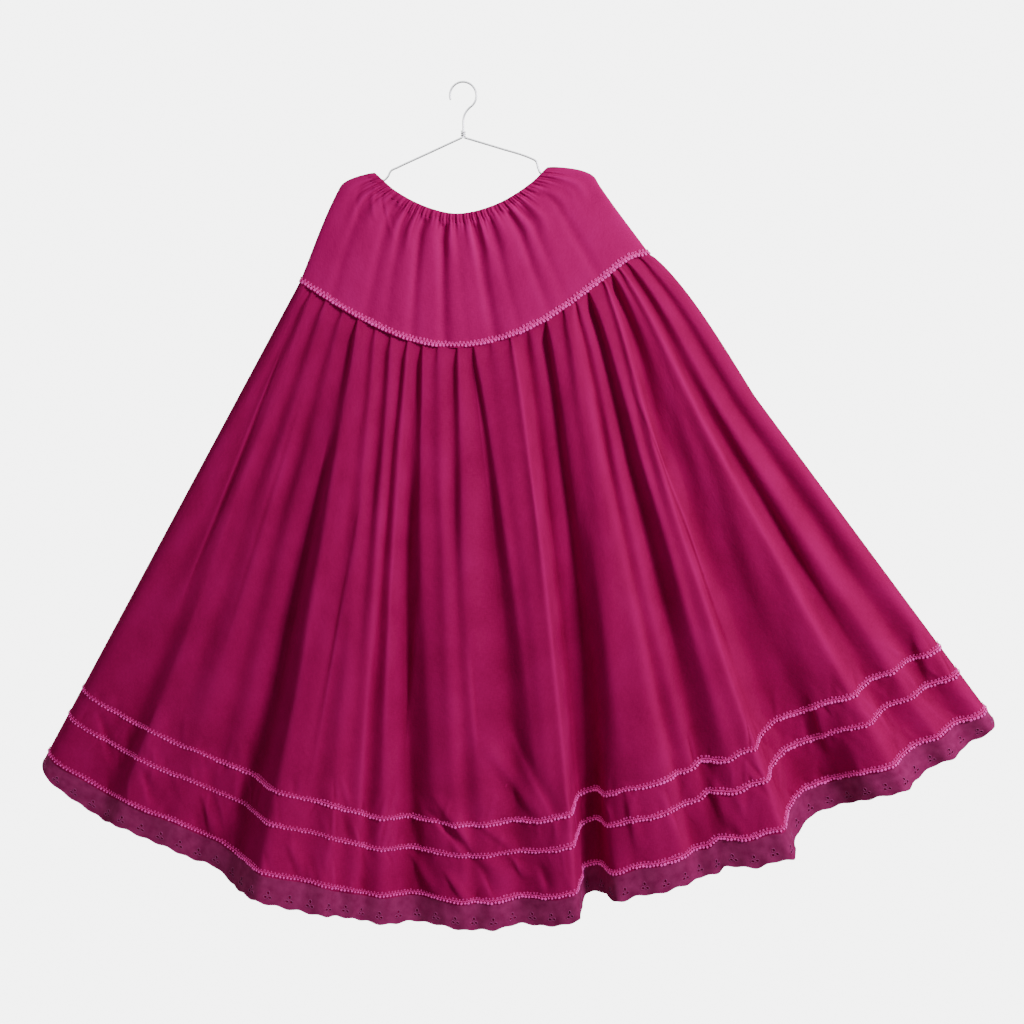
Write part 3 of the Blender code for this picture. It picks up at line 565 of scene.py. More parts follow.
class PanelSide:
    """The pleated skirt panel of one side."""

    def __init__(self, behind):
        self.turn = -1.0 if behind else 1.0
        hems = [(YOKE_SEAM[0][0], LEFT_EDGE_HEM_X)] + [(p.seam_x, p.hem_x) for p in FRONT_PLEATS]
        hems.append((YOKE_SEAM[-1][0], RIGHT_EDGE_HEM_X))
        if behind:
            self.edges = ((-hems[-1][0], -hems[-1][1]), (-hems[0][0], -hems[0][1]))
            self.pleats = self.back_pleats([(-seam_x, -hem_x) for seam_x, hem_x in reversed(hems)])
        else:
            self.edges = (hems[0], hems[-1])
            self.pleats = FRONT_PLEATS
        hem = self.corners(np.array([1.0]))[0]
        steps = np.linalg.norm(np.diff(hem, axis=0), axis=1)
        self.places = np.concatenate([[0.0], np.cumsum(steps)])
        self.width = float(self.places[-1])
        lips = np.array([(self.line(p.seam_x, p.hem_x, -p.forward - p.flare, 1.0)[0], -p.forward - p.flare)
                         for p in self.pleats])
        at = self.places[np.linalg.norm(hem[None, :, :2] - lips[:, None], axis=-1).argmin(axis=1)]
        self.lip_places, self.lip_widths = (at[1:] + at[:-1]) / 2, np.diff(at)

    @staticmethod
    def back_pleats(hems):
        first, last = hems[0][0], hems[-1][0]
        count = len(FRONT_PLEATS)
        pleats = []
        for k in range(count):
            across = (k + BACK_MARGIN) / (count + 2 * BACK_MARGIN - 1)
            x = first + (last - first) * across
            fold = BACK_CYCLE[k % len(BACK_CYCLE)]
            hem_x = np.interp(x, [h[0] for h in hems], [h[1] for h in hems])
            even = (hems[-1][1] - hems[0][1]) * across + hems[0][1]
            hem_x = (1.0 - BACK_EVENNESS) * hem_x + BACK_EVENNESS * even
            forward = BACK_FORWARD * belly(across)
            pleats.append(Pleat(x, hem_x, forward, 4, fold.upper, fold.middle, min(fold.lower, forward - 6), 24,
                                0.5, 0.5, 0, 0))
        return tuple(pleats)

    def drop(self, across):
        extra = (DROP_EXTRA_LEFT, DROP_EXTRA_RIGHT)[::int(self.turn)]
        side = 2.0 * across - 1.0
        tip = TIP_RISE_RIGHT * max(side * self.turn, 0.0) ** TIP_POWER
        return DROP + side * side * (extra[0] if side < 0 else extra[1]) - tip

    def line(self, seam_x, hem_x, hem_y, levels):
        """Where one straight line of cloth has got to at each level: its x and its fall."""
        left, right = self.edges[0][0], self.edges[1][0]
        across = (seam_x - left) / (right - left)
        seam_y = -seam_half_depth(self.turn * seam_x)
        fall = math.sqrt(self.drop(across) ** 2 - (hem_x - seam_x) ** 2 - (hem_y - seam_y) ** 2)
        front_across = across if self.turn > 0 else 1.0 - across
        swing = np.sin(np.pi * np.minimum(levels / BULGE_ENDS_AT, 1.0) ** BULGE_RISE)
        swing = self.turn * RIGHT_BULGE * front_across ** 6 * swing
        return seam_x + (hem_x - seam_x) * levels + swing, fall * levels

    def corners(self, levels):
        """Rows of lips, valleys and the points between them, as x, y and z for each level."""
        row, lip_falls = [], []
        for pleat in self.pleats:
            x, fall = self.line(pleat.seam_x, pleat.hem_x, -pleat.forward - pleat.flare, levels)
            x = x + 4.0 * pleat.bow * levels * (1.0 - np.minimum(levels, 1.0))
            fall = fall - pleat.lift * levels ** 2
            seam = seam_half_depth(self.turn * pleat.seam_x) - PLEAT_DEPTH_SEAM / 2
            flare = pleat.flare * (np.maximum(levels - FLARE_FROM, 0.0) / (1.0 - FLARE_FROM)) ** 2
            puff = TOP_PUFF * ease(levels / TOP_OPENS_AT) * (1.0 - ease(levels / PUFF_ENDS_AT))
            y = -(seam + (pleat.forward - seam) * levels ** FORWARD_POWER + flare + puff)
            depth = smooth_curve(((0, PLEAT_DEPTH_SEAM), (TOP_OPENS_AT, TOP_SHARE * pleat.upper),
                                  (0.2, pleat.upper), (0.5, pleat.middle), (1, pleat.lower)), levels)
            lean = PLEAT_LEAN + TOP_LEAN * ease(levels / TOP_OPENS_AT)
            lean = lean + pleat.valley * levels * ease(levels / PLEAT_OPENS_AT)
            valley_fall = VALLEY_SHARES[0] * lip_falls[-1] + VALLEY_SHARES[1] * fall if lip_falls else fall
            start = np.full_like(x, pleat.seam_x)
            row.append(np.stack([x - lean, np.minimum(y + depth, -NEAREST_MIDDLE), valley_fall,
                                 start - PLEAT_LEAN], -1))
            lip_falls.append(fall)
            row.append(np.stack([x, y, fall, start], -1))
        rims = [self.side_fold(side, levels) for side in (0, 1)]
        points = [rims[0][-1]] + row + [rims[1][-1]]
        whole = list(rims[0])
        for k, (a, b) in enumerate(zip(points, points[1:])):
            pleat = self.pleats[k // 2 - 1] if k and k % 2 == 0 else None
            if k % 2 == 0:
                hold, fade = (pleat.hold, pleat.fade) if pleat else (0.5, 0.5)
                whole.append(a + (b - a) * np.array([hold, fade, hold, hold]))
            whole.append(b)
        whole += rims[1][-2::-1]
        whole = np.stack(whole, axis=1)
        return np.stack([whole[..., 0], whole[..., 1], seam_z(self.turn * whole[..., 3]) - whole[..., 2]], -1)

    def side_fold(self, side, levels, steps=6):
        """The rounded fold beside a side seam, from the seam inwards."""
        seam_x, hem_x = self.edges[side]
        inward = 1.0 if side == 0 else -1.0
        x, fall = self.line(seam_x, hem_x, 0.0, levels)
        width = EDGE_ROUND_SEAM + (EDGE_ROUND_HEM - EDGE_ROUND_SEAM) * levels
        at_seam = seam_half_depth(self.turn * (seam_x + inward * EDGE_ROUND_SEAM))
        depth = at_seam + (EDGE_DEPTH_HEM - at_seam) * levels
        pleat = self.pleats[0] if side == 0 else self.pleats[-1]
        next_x, next_fall = self.line(pleat.seam_x, pleat.hem_x, -pleat.forward - pleat.flare, levels)
        fold = []
        for s in range(steps + 1):
            angle = 0.5 * math.pi * s / steps
            off = 1 - math.cos(angle)
            share = width * off / np.abs(next_x - x)
            y = -SEAM_GAP / 2 - (depth - SEAM_GAP / 2) * math.sin(angle)
            start = np.full_like(x, seam_x + inward * EDGE_ROUND_SEAM * off)
            fold.append(np.stack([x + inward * width * off, y, fall + (next_fall - fall) * share, start], -1))
        return fold

    def surface(self, levels, places):
        """Softly bent cloth at the given levels and places along the hem, in millimetres."""
        corners = self.corners(levels)
        fine = np.arange(0.0, self.width + 1.0, 1.0)
        wide = ease((np.interp(fine, self.lip_places, self.lip_widths) - WIDE_FROM) / (WIDE_TO - WIDE_FROM))
        rows = []
        for level, row in zip(levels, corners):
            spread = float(smooth_curve(SOFTNESS, min(level, 1.0)))
            line = np.stack([np.interp(fine, self.places, row[:, axis]) for axis in range(3)], -1)
            narrow, rolled = blurred(line, spread), blurred(line, ROLL * spread)
            line = narrow + wide[:, None] * (rolled - narrow) * (1.0 - ease(level / ROLL_ENDS))
            rows.append(np.stack([np.interp(places, fine, line[:, axis]) for axis in range(3)], -1))
        return np.array(rows)

    def columns(self, count):
        """Places for a fine grid's columns, closer together near the lips and valleys."""
        fine = np.arange(0.0, self.width, 1.0)
        nearest = np.abs(fine[:, None] - self.places[None, :]).min(axis=1)
        weight = np.cumsum(1.0 + CLOSER * np.exp(-(nearest / CLOSER_WITHIN) ** 2))
        return np.interp(np.linspace(weight[0], weight[-1], count), weight, np.linspace(0, self.width, len(fine)))


panels = {"front": PanelSide(False), "back": PanelSide(True)}
print("hem of each panel:", {side: round(p.width) for side, p in panels.items()}, "mm")


# %% [markdown]
# ## Creases placed one by one
# Folds alone look like a machine part. Real cloth also has soft creases that start and end inside a panel,
# long slow waves, and small puckers where a row of stitching draws it up. Each crease is a row of
# a table with its two ends; the puckers follow a rule with a fixed seed.


# %% Creases
# Each crease: the x of its upper end and the share of the drop there, the same for its lower end, its width
# and its height in mm.
Crease = namedtuple("Crease", "x_top top x_bottom bottom width height")
FRONT_CREASES = (
    Crease(-262, 0.10, -430, 0.62, 9, -1.8),
    Crease(-232, 0.16, -372, 0.70, 10, 2.2),
    Crease(-196, 0.20, -300, 0.74, 8, -1.8),
    Crease(-150, 0.30, -236, 0.86, 9, 2.4),
    Crease(-60, 0.34, -96, 0.80, 9, 2.0),
    Crease(11, 0.52, 26, 0.74, 12, -3.4),
    Crease(26, 0.70, 122, 0.87, 13, 4.6),
    Crease(60, 0.66, 140, 0.86, 10, -3.0),
    Crease(-47, 0.80, 34, 0.94, 12, 5.0),
    Crease(16, 0.84, 92, 0.93, 11, 3.4),
    Crease(-60, 0.83, -2, 0.90, 8, -3.6),
    Crease(-84, 0.92, -44, 0.998, 9, 4.4),
    Crease(-30, 0.94, 2, 0.998, 8, 4.0),
    Crease(20, 0.92, 48, 0.995, 9, -4.0),
    Crease(60, 0.90, 92, 0.965, 8, 4.4),
    Crease(110, 0.93, 128, 0.99, 8, -3.0),
    Crease(-462, 0.80, -522, 1.0, 15, 5.4),
    Crease(-560, 0.86, -545, 0.95, 9, -3.6),
    Crease(-402, 0.92, -388, 0.998, 9, 4.4),
    Crease(-490, 0.92, -478, 0.985, 9, -3.6),
    Crease(-330, 0.84, -352, 0.96, 10, -3.4),
    Crease(-262, 0.93, -240, 0.998, 9, 3.6),
    Crease(240, 0.16, 420, 0.74, 12, 2.4),
    Crease(330, 0.20, 610, 0.82, 14, 2.6),
    Crease(242, 0.84, 262, 0.97, 9, 3.8),
    Crease(296, 0.84, 330, 0.97, 9, -3.4),
    Crease(372, 0.88, 398, 0.98, 9, 4.0),
    Crease(520, 0.82, 560, 0.95, 10, 4.2),
    Crease(610, 0.86, 660, 0.97, 10, -3.6),
    Crease(676, 0.80, 716, 0.93, 9, 3.6),
)


# A crease rises steeply from its left and falls away gently to its right, in shares of its width.
STEEP_SIDE, GENTLE_SIDE = 0.65, 1.5


def crease_field(rows_x, levels, places, table):
    """How far the creases lift the cloth at each point of a grid."""
    lift = np.zeros(rows_x.shape)
    for crease in table:
        for r, level in enumerate(levels):
            if not crease.top < level < crease.bottom:
                continue
            share = (level - crease.top) / (crease.bottom - crease.top)
            x = crease.x_top + (crease.x_bottom - crease.x_top) * share
            at = np.interp(x, np.maximum.accumulate(rows_x[r]), places)
            off = (places - at) / crease.width
            profile = np.exp(-(off / np.where(off < 0, STEEP_SIDE, GENTLE_SIDE)) ** 2)
            lift[r] += crease.height * math.sin(math.pi * share) ** 0.9 * profile
    return lift


print("hand-placed creases:", len(FRONT_CREASES))

# %% Waves and puckers
WAVES = 28
WAVE_ACROSS, WAVE_DOWN, WAVE_TILT = (70, 260), (220, 900), (-0.12, 0.12)
PUCKER_STEP, PUCKER_LENGTH, PUCKER_WIDTH, PUCKER_SLANT = (12, 36), (16, 58), (3.4, 10.0), (-0.55, 0.55)


def wave_field(places, drops, seed, height):
    """Slow uneven waves, longer down the cloth than across it."""
    dice = np.random.default_rng(seed)
    field = np.zeros((len(drops), len(places)))
    for _ in range(WAVES):
        across, down = dice.uniform(*WAVE_ACROSS), dice.uniform(*WAVE_DOWN)
        phase, tilt = dice.uniform(0, 2 * math.pi), dice.uniform(*WAVE_TILT)
        angle = 2 * math.pi * ((places[None, :] + tilt * drops[:, None]) / across + drops[:, None] / down) + phase
        field += np.sin(angle)
    return field * height / math.sqrt(WAVES / 2)


def pucker_field(places, drops, row_drops, seed, height):
    """Short slanted wrinkles on both sides of each sewn row."""
    dice = np.random.default_rng(seed)
    field = np.zeros((len(drops), len(places)))
    for row in row_drops:
        at = places[0]
        while at < places[-1]:
            at += dice.uniform(*PUCKER_STEP)
            for side in (-1.0, 1.0):
                length, slant = dice.uniform(*PUCKER_LENGTH), dice.uniform(*PUCKER_SLANT)
                lift, width = height * dice.uniform(-1.0, 1.0), dice.uniform(*PUCKER_WIDTH)
                away = (drops - row) * side
                near = np.nonzero((away > 0) & (away < length))[0]
                if not len(near):
                    continue
                fade = np.sin(math.pi * np.clip(away[near] / length, 0, 1) ** 0.6)
                centre = at + slant * away[near]
                shape = np.exp(-((places[None, :] - centre[:, None]) / width) ** 2)
                field[near] += lift * fade[:, None] * shape
    return field


def held_at_sides(places, panel, reach):
    """1 on open cloth, and falling to 0 at a side seam over the reach in mm."""
    return np.minimum(1.0, np.minimum(places, panel.width - places) / reach)[None, :]


def edging_lift(panel, places, falls, seed):
    """Waves of the strip below the hem, as distances out from the smooth strip."""
    lift = wave_field(places, falls * EDGING_RESTLESS, seed, EDGING_WAVE) * ease(falls / EDGING_HELD)[:, None]
    flutter = np.sin(2 * math.pi * places / (panel.width / SCALLOPS) + 1.0)[None, :]
    lift += EDGING_FLUTTER * flutter * ease(falls / EDGING_DROP)[:, None] ** 2
    return lift * held_at_sides(places, panel, EDGING_HELD)


EDGING_SEEDS = {"front": 31, "back": 37}
EDGING_WAVE, EDGING_FLUTTER, EDGING_HELD = 0.8, 0.9, 20.0      # mm
EDGING_RESTLESS = 4     # how many times shorter its waves are down the cloth than the panel's
print("crease, wave and pucker fields ready, edging seeds", EDGING_SEEDS)


# %% [markdown]
# ## The two skirt panels
# Now the surface, its creases and its wall come together. The rows lie closer together just below the
# yoke and between the braids, where the small shapes are.

# %% Skirt panels
PANEL_WAVE, PANEL_PUCKER, PANEL_HELD = 1.1, 1.7, 30.0      # mm


def panel_levels(fine):
    """Levels of a fine grid's rows: close below the seam and near the hem."""
    parts = (np.linspace(0, 0.06, 9)[:-1], np.linspace(0.06, 0.80, int(fine * 0.54))[:-1],
             np.linspace(0.80, 1.0, int(fine * 0.34))[:-1], [0.9995, 1.004, 1.02, 1.0 + UNDERLAP / DROP])
    levels = np.concatenate(parts)
    return levels if len(levels) % 2 else np.insert(levels, 1, levels[1] / 2)


panel_grids = {}
for side, columns, rows, seed in (("front", 519, 138, 11), ("back", 399, 100, 23)):
    panel = panels[side]
    levels = panel_levels(rows)
    places = panel.columns(columns)
    grid = panel.surface(levels, places)
    drops = levels * DROP
    lift = wave_field(places, drops, seed, PANEL_WAVE) * ease(levels * 3)[:, None]
    sewn = (UPPER_BRAID_AT * DROP, MIDDLE_BRAID_AT * DROP, DROP)
    lift += pucker_field(places, drops, sewn, seed + 1, PANEL_PUCKER)
    table = FRONT_CREASES if side == "front" else [c._replace(x_top=-c.x_top, x_bottom=-c.x_bottom)
                                                   for c in FRONT_CREASES]
    lift += crease_field(grid[..., 0], levels, places, table)
    lift *= held_at_sides(places, panel, PANEL_HELD)
    under = levels > 1.0
    lift[under] = edging_lift(panel, places, drops[under] - DROP, EDGING_SEEDS[side]) - UNDERLAP_GAP
    hem = np.nonzero(~under)[0][-1]
    shorter = (1.0 - edging_lost(places, panel))[None, :, None]
    grid[under] = grid[hem] + (grid[under] - grid[hem]) * shorter
    grid = grid + normals(grid) * lift[..., None]
    uv = np.stack(np.broadcast_arrays(places[None, :] * MM, -drops[:, None] * MM), -1)
    # The rows behind the edging get full painted shade.
    thing, outer, out = cloth_wall(f"skirt_cloth_{side}", grid, CLOTH, uv, panel_cloth, panel.turn, -1.0 * under)
    panel_grids[side] = (levels, places, outer, out)
    dress(thing, f"skirt_{side}")

# %% [markdown]
# ## The hip yoke
# The yoke is a fitted piece with no pleats, but the elastic above it draws it into small gathers that die
# out over a few centimetres, and a few of them run on as soft folds. It is a sheet stretched
# between four measured outlines, pushed in along each fold.


# %% Yoke surface
WANDER = 0.22       # how unevenly the gathers are spread


def mirrored(points):
    return tuple((-x, z) for x, z in reversed(points))


class YokeSide:
    """The waist casing and the yoke of one side."""

    def __init__(self, behind):
        self.turn = -1.0 if behind else 1.0
        self.waist = mirrored(WAIST_EDGE) if behind else WAIST_EDGE
        self.seam = mirrored(YOKE_SEAM) if behind else YOKE_SEAM
        self.left = tuple((-x, z) for x, z in YOKE_RIGHT) if behind else YOKE_LEFT
        self.right = tuple((-x, z) for x, z in YOKE_LEFT) if behind else YOKE_RIGHT
        self.length = math.dist(along(self.waist, 0.5), along(self.seam, 0.5))

    def surface(self, across, down):
        a, d = across[None, :, None], down[:, None, None]
        top, bottom = along(self.waist, across), along(self.seam, across)
        bottom[:, 1] = seam_z(self.turn * bottom[:, 0])
        left, right = along(self.left, down), along(self.right, down)
        flat = (1 - d) * top[None] + d * bottom[None]
        for side, edge, end in ((left, 1 - a, 0), (right, a, -1)):
            straight = (1 - d) * np.array(self.waist[end], float) + d * np.array(self.seam[end], float)
            flat = flat + edge ** SHOULDER_POWER * (side[:, None] - straight)
        half_depth = WAIST_HALF_DEPTH + (SEAM_HALF_DEPTH - WAIST_HALF_DEPTH) * down[:, None]
        depth = SEAM_GAP / 2 + half_depth * belly(across)
        below = down * self.length - BAND_HEIGHT
        for fold in YOKE_FOLDS + SOFT_YOKE_FOLDS:
            trough = np.exp(-((across - fold.across) / YOKE_FOLD_WIDTH) ** 2)
            size = fold.depth_top + (fold.depth_seam - fold.depth_top) * down
            depth = depth - (size * ease(below / FOLD_START))[:, None] * trough[None, :]
        return np.stack([flat[..., 0], -depth, flat[..., 1]], -1)


def gather_phase(across, seed):
    """An uneven count of gathers, so that no two are the same width."""
    dice = np.random.default_rng(seed)
    wander = sum(dice.uniform(-1, 1) * np.sin(2 * math.pi * k * across + dice.uniform(0, 6)) for k in range(2, 9))
    return 2 * math.pi * (GATHERS * across + WANDER * wander)


yokes = {"front": YokeSide(False), "back": YokeSide(True)}
print("yoke depth at the middle:", round(yokes["front"].length), "mm")

# %% Yoke pieces
# Short slanted creases on the two shoulders: share across, mm below the casing, width as a share, height in mm.
ShoulderCrease = namedtuple("ShoulderCrease", "across_top top across_bottom bottom width height")
SHOULDER_CREASES = (
    ShoulderCrease(0.060, -6, 0.160, 44, 0.012, 1.2),
    ShoulderCrease(0.035, 4, 0.105, 60, 0.014, -1.0),
    ShoulderCrease(0.110, 0, 0.200, 36, 0.010, -0.9),
    ShoulderCrease(0.150, 8, 0.235, 52, 0.012, 0.9),
    ShoulderCrease(0.880, -4, 0.845, 60, 0.014, -0.9),
    ShoulderCrease(0.935, 6, 0.900, 70, 0.014, 0.8),
)
TUCK = 5.0                  # the yoke's cloth runs on this far up inside the casing
FINE_ROWS_TO = 60.0         # mm
YOKE_CUT = (390, 560)       # mm along the waist and along the seam
# The gathers just below the casing, as height and fade in mm: the main ones, those between them, and every
# second one that runs on further.
GATHER, SMALL_GATHER, LONG_GATHER = (1.1, 20.0), (0.5, 8.0), (1.1, 32.0)
LONG_GATHER_AT = 30.0
SMALL_PER_GATHER = 2.3
YOKE_WAVE, YOKE_MIDDLE_WIDTH = 0.5, 480
yoke_grids = {}
for side, seed, columns, rows in (("front", 5, 401, 71), ("back", 6, 261, 51)):
    yoke = yokes[side]
    even = np.linspace(0, 1, columns)
    across = 0.75 * even + 0.25 * (0.5 - 0.5 * np.cos(math.pi * even))
    close = rows // 3
    drops = np.concatenate([np.linspace(BAND_HEIGHT - TUCK, FINE_ROWS_TO, close + 1)[:-1],
                            np.linspace(FINE_ROWS_TO, yoke.length, rows - close)])
    grid = yoke.surface(across, drops / yoke.length)
    below = np.maximum(drops - BAND_HEIGHT, 0.0)[:, None]
    tight = ease(np.minimum(across, 1 - across) / 0.06)[None, :]
    phase = gather_phase(across, seed)[None, :]
    ripple = GATHER[0] * np.sin(phase) * np.exp(-below / GATHER[1])
    ripple = ripple + SMALL_GATHER[0] * np.sin(SMALL_PER_GATHER * phase) * np.exp(-below / SMALL_GATHER[1])
    half = LONG_GATHER[0] * np.sin(phase / 2 + 0.6) * np.exp(-((below - LONG_GATHER_AT) / LONG_GATHER[1]) ** 2)
    waves = wave_field(across * YOKE_MIDDLE_WIDTH, drops, seed, YOKE_WAVE)
    lift = (ripple + half) * tight + waves * tight * ease(below / 40)
    for mark in SHOULDER_CREASES:
        share = (below[:, 0] - mark.top) / (mark.bottom - mark.top)
        middle = mark.across_top + (mark.across_bottom - mark.across_top) * share
        fade = np.sin(math.pi * np.clip(share, 0, 1)) ** 0.7 * mark.height
        lift = lift + fade[:, None] * np.exp(-((across[None, :] - middle[:, None]) / mark.width) ** 2)
    grid = grid + normals(grid) * lift[..., None]
    width = np.interp(drops, (0, yoke.length), YOKE_CUT)
    uv = np.stack(np.broadcast_arrays((across[None, :] - 0.5) * width[:, None] * MM, -drops[:, None] * MM), -1)
    thing, outer, out = cloth_wall(f"yoke_cloth_{side}", grid, CLOTH, uv, yoke_cloth, yoke.turn)
    yoke_grids[side] = (across, drops, outer, out, thing)
    dress(thing, f"yoke_{side}")

# %% [markdown]
# ## The elastic casing
# A tunnel of doubled cloth holds the elastic, so the waist is a puffed tube with a tight ruffle of
# gathers. Its section is a flattened oval, and the ruffle pushes both faces the same way.

# %% Waist casing
AROUND = 18                 # points round its section
RUFFLE, SMALL_RUFFLE = 0.8, 0.55
CASING_LENGTH = 0.62        # m of cloth round one half of the waist, before it is gathered
for side, seed in (("front", 5), ("back", 6)):
    yoke = yokes[side]
    across = np.linspace(0, 1, GATHERS * 16 + 1)
    rows = yoke.surface(across, np.array([0.0, BAND_HEIGHT]) / yoke.length)
    out = normals(rows)[0]
    phase = gather_phase(across, seed)
    tight = ease(np.minimum(across, 1 - across) / 0.05)
    ring = []
    for k in range(AROUND):
        angle = 2 * math.pi * k / AROUND
        down = 0.5 - 0.5 * math.cos(angle)
        puff = math.copysign(abs(math.sin(angle)) ** 0.7, math.sin(angle))
        ruffle = RUFFLE * np.sin(phase) + SMALL_RUFFLE * np.sin(SMALL_PER_GATHER * phase + 2 * down)
        ruffle = ruffle * (0.55 + 0.45 * abs(puff)) * tight
        swell = (BAND_WALL / 2 - 0.35) * puff * (0.85 + 0.15 * np.cos(phase))
        line = rows[0] + (rows[1] - rows[0]) * down
        ring.append(line + out * (ruffle + swell)[:, None])
    grid = np.stack(ring, axis=0)
    cols = len(across)
    a = (np.arange(AROUND)[:, None] * cols + np.arange(cols - 1)).ravel()
    b = (((np.arange(AROUND) + 1) % AROUND)[:, None] * cols + np.arange(cols - 1)).ravel()
    faces = np.stack([a, b, b + 1, a + 1], axis=1).tolist()
    faces.append([k * cols for k in range(AROUND)][::-1])
    faces.append([k * cols + cols - 1 for k in range(AROUND)])
    u = np.broadcast_to(across * CASING_LENGTH, (AROUND, cols))
    v = np.broadcast_to((np.arange(AROUND) * 0.002)[:, None], (AROUND, cols))
    # Painted shade over the whole casing, more towards its underside; the gathers get painted highlight and painted
    # shade in turn.
    underside_painted_shade = -0.75 * (0.5 - 0.5 * np.cos(2 * math.pi * np.arange(AROUND) / AROUND)) ** 2 - 0.25
    gather_painted_light_and_shade = 0.4 * (np.sin(phase) + np.sin(SMALL_PER_GATHER * phase))
    marks = (gather_painted_light_and_shade[None, :] + underside_painted_shade[:, None]).ravel()
    thing = make_object(f"waist_casing_{side}", grid.reshape(-1, 3), faces, yoke_cloth, yoke.turn,
                        np.stack([u, v], -1).reshape(-1, 2), marks)
    dress(thing, f"waistband_{side}")

# %% [markdown]
# ## The side seams
# Inside each side seam the two seam allowances are pressed open. They are one narrow strip here, 10 mm to
# each side, which lies just inside both walls and closes the fine line between them.

# %% Seam allowances
ALLOWANCE, ALLOWANCE_WALL, ALLOWANCE_GAP = 10.0, 0.3, 0.2      # mm


def row_at(levels, values, level):
    """The row of a grid at a level between two of its own."""
    i = int(np.clip(np.searchsorted(levels, level, side="right") - 1, 0, len(levels) - 2))
    f = (level - levels[i]) / (levels[i + 1] - levels[i])
    return values[i] * (1 - f) + values[i + 1] * f


def seam_allowance(name, first, second, levels, reach, material):
    """The strip inside a seam; first ends at it and second starts at it, each with its turn about Z."""
    rows = []
    for level in levels:
        row = []
        for (turn, heights, places, outer, out), ends in ((first, True), (second, False)):
            inner = row_at(heights, outer, level) - unit(row_at(heights, out, level)) * (CLOTH + ALLOWANCE_GAP)
            steps = reach * np.array([1.0, 0.5, 0.0])
            spots = places[-1] - steps if ends else places[0] + steps[::-1]
            line = np.stack([np.interp(spots, places, inner[:, axis]) for axis in range(3)], -1)
            row.append(line * np.array([turn, turn, 1.0]))
        middle = (row[0][-1:] + row[1][:1]) / 2
        rows.append(np.concatenate([row[0], middle, row[1]]))
    grid = np.array(rows)
    across = np.array([-1.0, -0.5, -0.1, 0.0, 0.1, 0.5, 1.0]) * ALLOWANCE
    uv = np.stack(np.broadcast_arrays(across[None, :] * MM, np.linspace(0, -0.8, len(rows))[:, None]), -1)
    dress(cloth_wall(name, grid, ALLOWANCE_WALL, uv, material, 1.0)[0])


panel_edges = {side: (panels[side].turn, *panel_grids[side]) for side in ("front", "back")}
yoke_edges = {side: (yokes[side].turn, yoke_grids[side][1], *[yoke_grids[side][k] for k in (0, 2, 3)])
              for side in ("front", "back")}
for name, a, b in (("right", "front", "back"), ("left", "back", "front")):
    seam_allowance(f"seam_skirt_{name}", panel_edges[a], panel_edges[b],
                   np.linspace(0.004, 1.0 + 0.97 * UNDERLAP / DROP, 121), ALLOWANCE, panel_cloth)
    seam_allowance(f"seam_yoke_{name}", yoke_edges[a], yoke_edges[b],
                   np.linspace(BAND_HEIGHT + 2, yokes[a].length - 4, 31), ALLOWANCE / YOKE_MIDDLE_WIDTH, yoke_cloth)

# %% [markdown]
# ## The cutwork edging
# Cutwork edging is a strip of cloth with a scalloped lower edge and small holes whose rims are oversewn.
# One scallop is drawn flat, with its holes, as a constrained triangulation. That flat motif is then
# repeated along the hem and each copy is bent onto the panel's own surface.

# %% Finish of stitched cloth and thread
Patches = namedtuple("Patches", "size detail")      # size in mm


def stitched(name, dark, bright, dye, relief, bump, rough, shine, spread=(0.3, 0.7), painted_glow=0.0, on_flat=False):
    """Embroidered or twisted thread: dye and relief are the patches of its colour and of its ridges, and bump is
    the ridges' strength and their depth in mm; any glow is painted light given off in the thread's own colour."""
    made, tree, shader = new_material(name)
    if on_flat:
        where = add_node(tree, "ShaderNodeUVMap", uv_map="flat_cloth").outputs[0]
    else:
        where = add_node(tree, "ShaderNodeTexCoord").outputs["Object"]
    cloud, ridges = (add_node(tree, "ShaderNodeTexNoise", {"Scale": per_metre(size), "Detail": detail},
                              {"Vector": where}) for size, detail in (dye, relief))
    ramp = add_node(tree, "ShaderNodeValToRGB", None, {"Fac": cloud.outputs[0]})
    for end, place, colour in zip(ramp.color_ramp.elements, spread, (dark, bright)):
        end.position, end.color = place, to_linear(colour)
    tree.links.new(ramp.outputs[0], shader.inputs["Base Color"])
    # The glow is painted light in the thread's own colour.
    if painted_glow:
        tree.links.new(ramp.outputs[0], shader.inputs["Emission Color"])
        shader.inputs["Emission Strength"].default_value = painted_glow
    strength, depth = bump
    raised = add_node(tree, "ShaderNodeBump", {"Strength": strength, "Distance": depth * MM},
                      {"Height": ridges.outputs[0]})
    tree.links.new(raised.outputs[0], shader.inputs["Normal"])
    shader.inputs["Roughness"].default_value = rough
    shader.inputs["Specular IOR Level"].default_value = shine
    return made


# Cotton, machine embroidered; the rayon thread gives it a faint gloss.
cutwork = stitched("embroidered_cotton_edging", "#841A50", "#A03068", Patches(14.29, 4.0), Patches(1.111, 1.0),
                   (0.5, 0.5), 0.75, 0.08, spread=(0.3, 0.75), on_flat=True)
print("edging material:", cutwork.name)

# %% One scallop, drawn flat
# Each eyelet: its middle across the scallop and above the tips, and half its width and height, in mm.
Eyelet = namedtuple("Eyelet", "x rise half_width half_height")
EYELETS = (
    Eyelet(-3.4, 12.2, 2.3, 1.8),
    Eyelet(3.4, 12.2, 2.3, 1.8),
    Eyelet(0.0, 19.0, 1.9, 2.4),
)
EYELET_SIDES = 12
MOTIF_STEP = 2.4        # mm between the points inside the motif
CLEARANCE = 0.9         # mm that they keep from its outlines


def scallop_edge(x, pitch):
    """Height of the scalloped edge above its lowest line at a place across one scallop."""
    return SCALLOP_RISE * np.sin(math.pi * x / pitch) ** 2


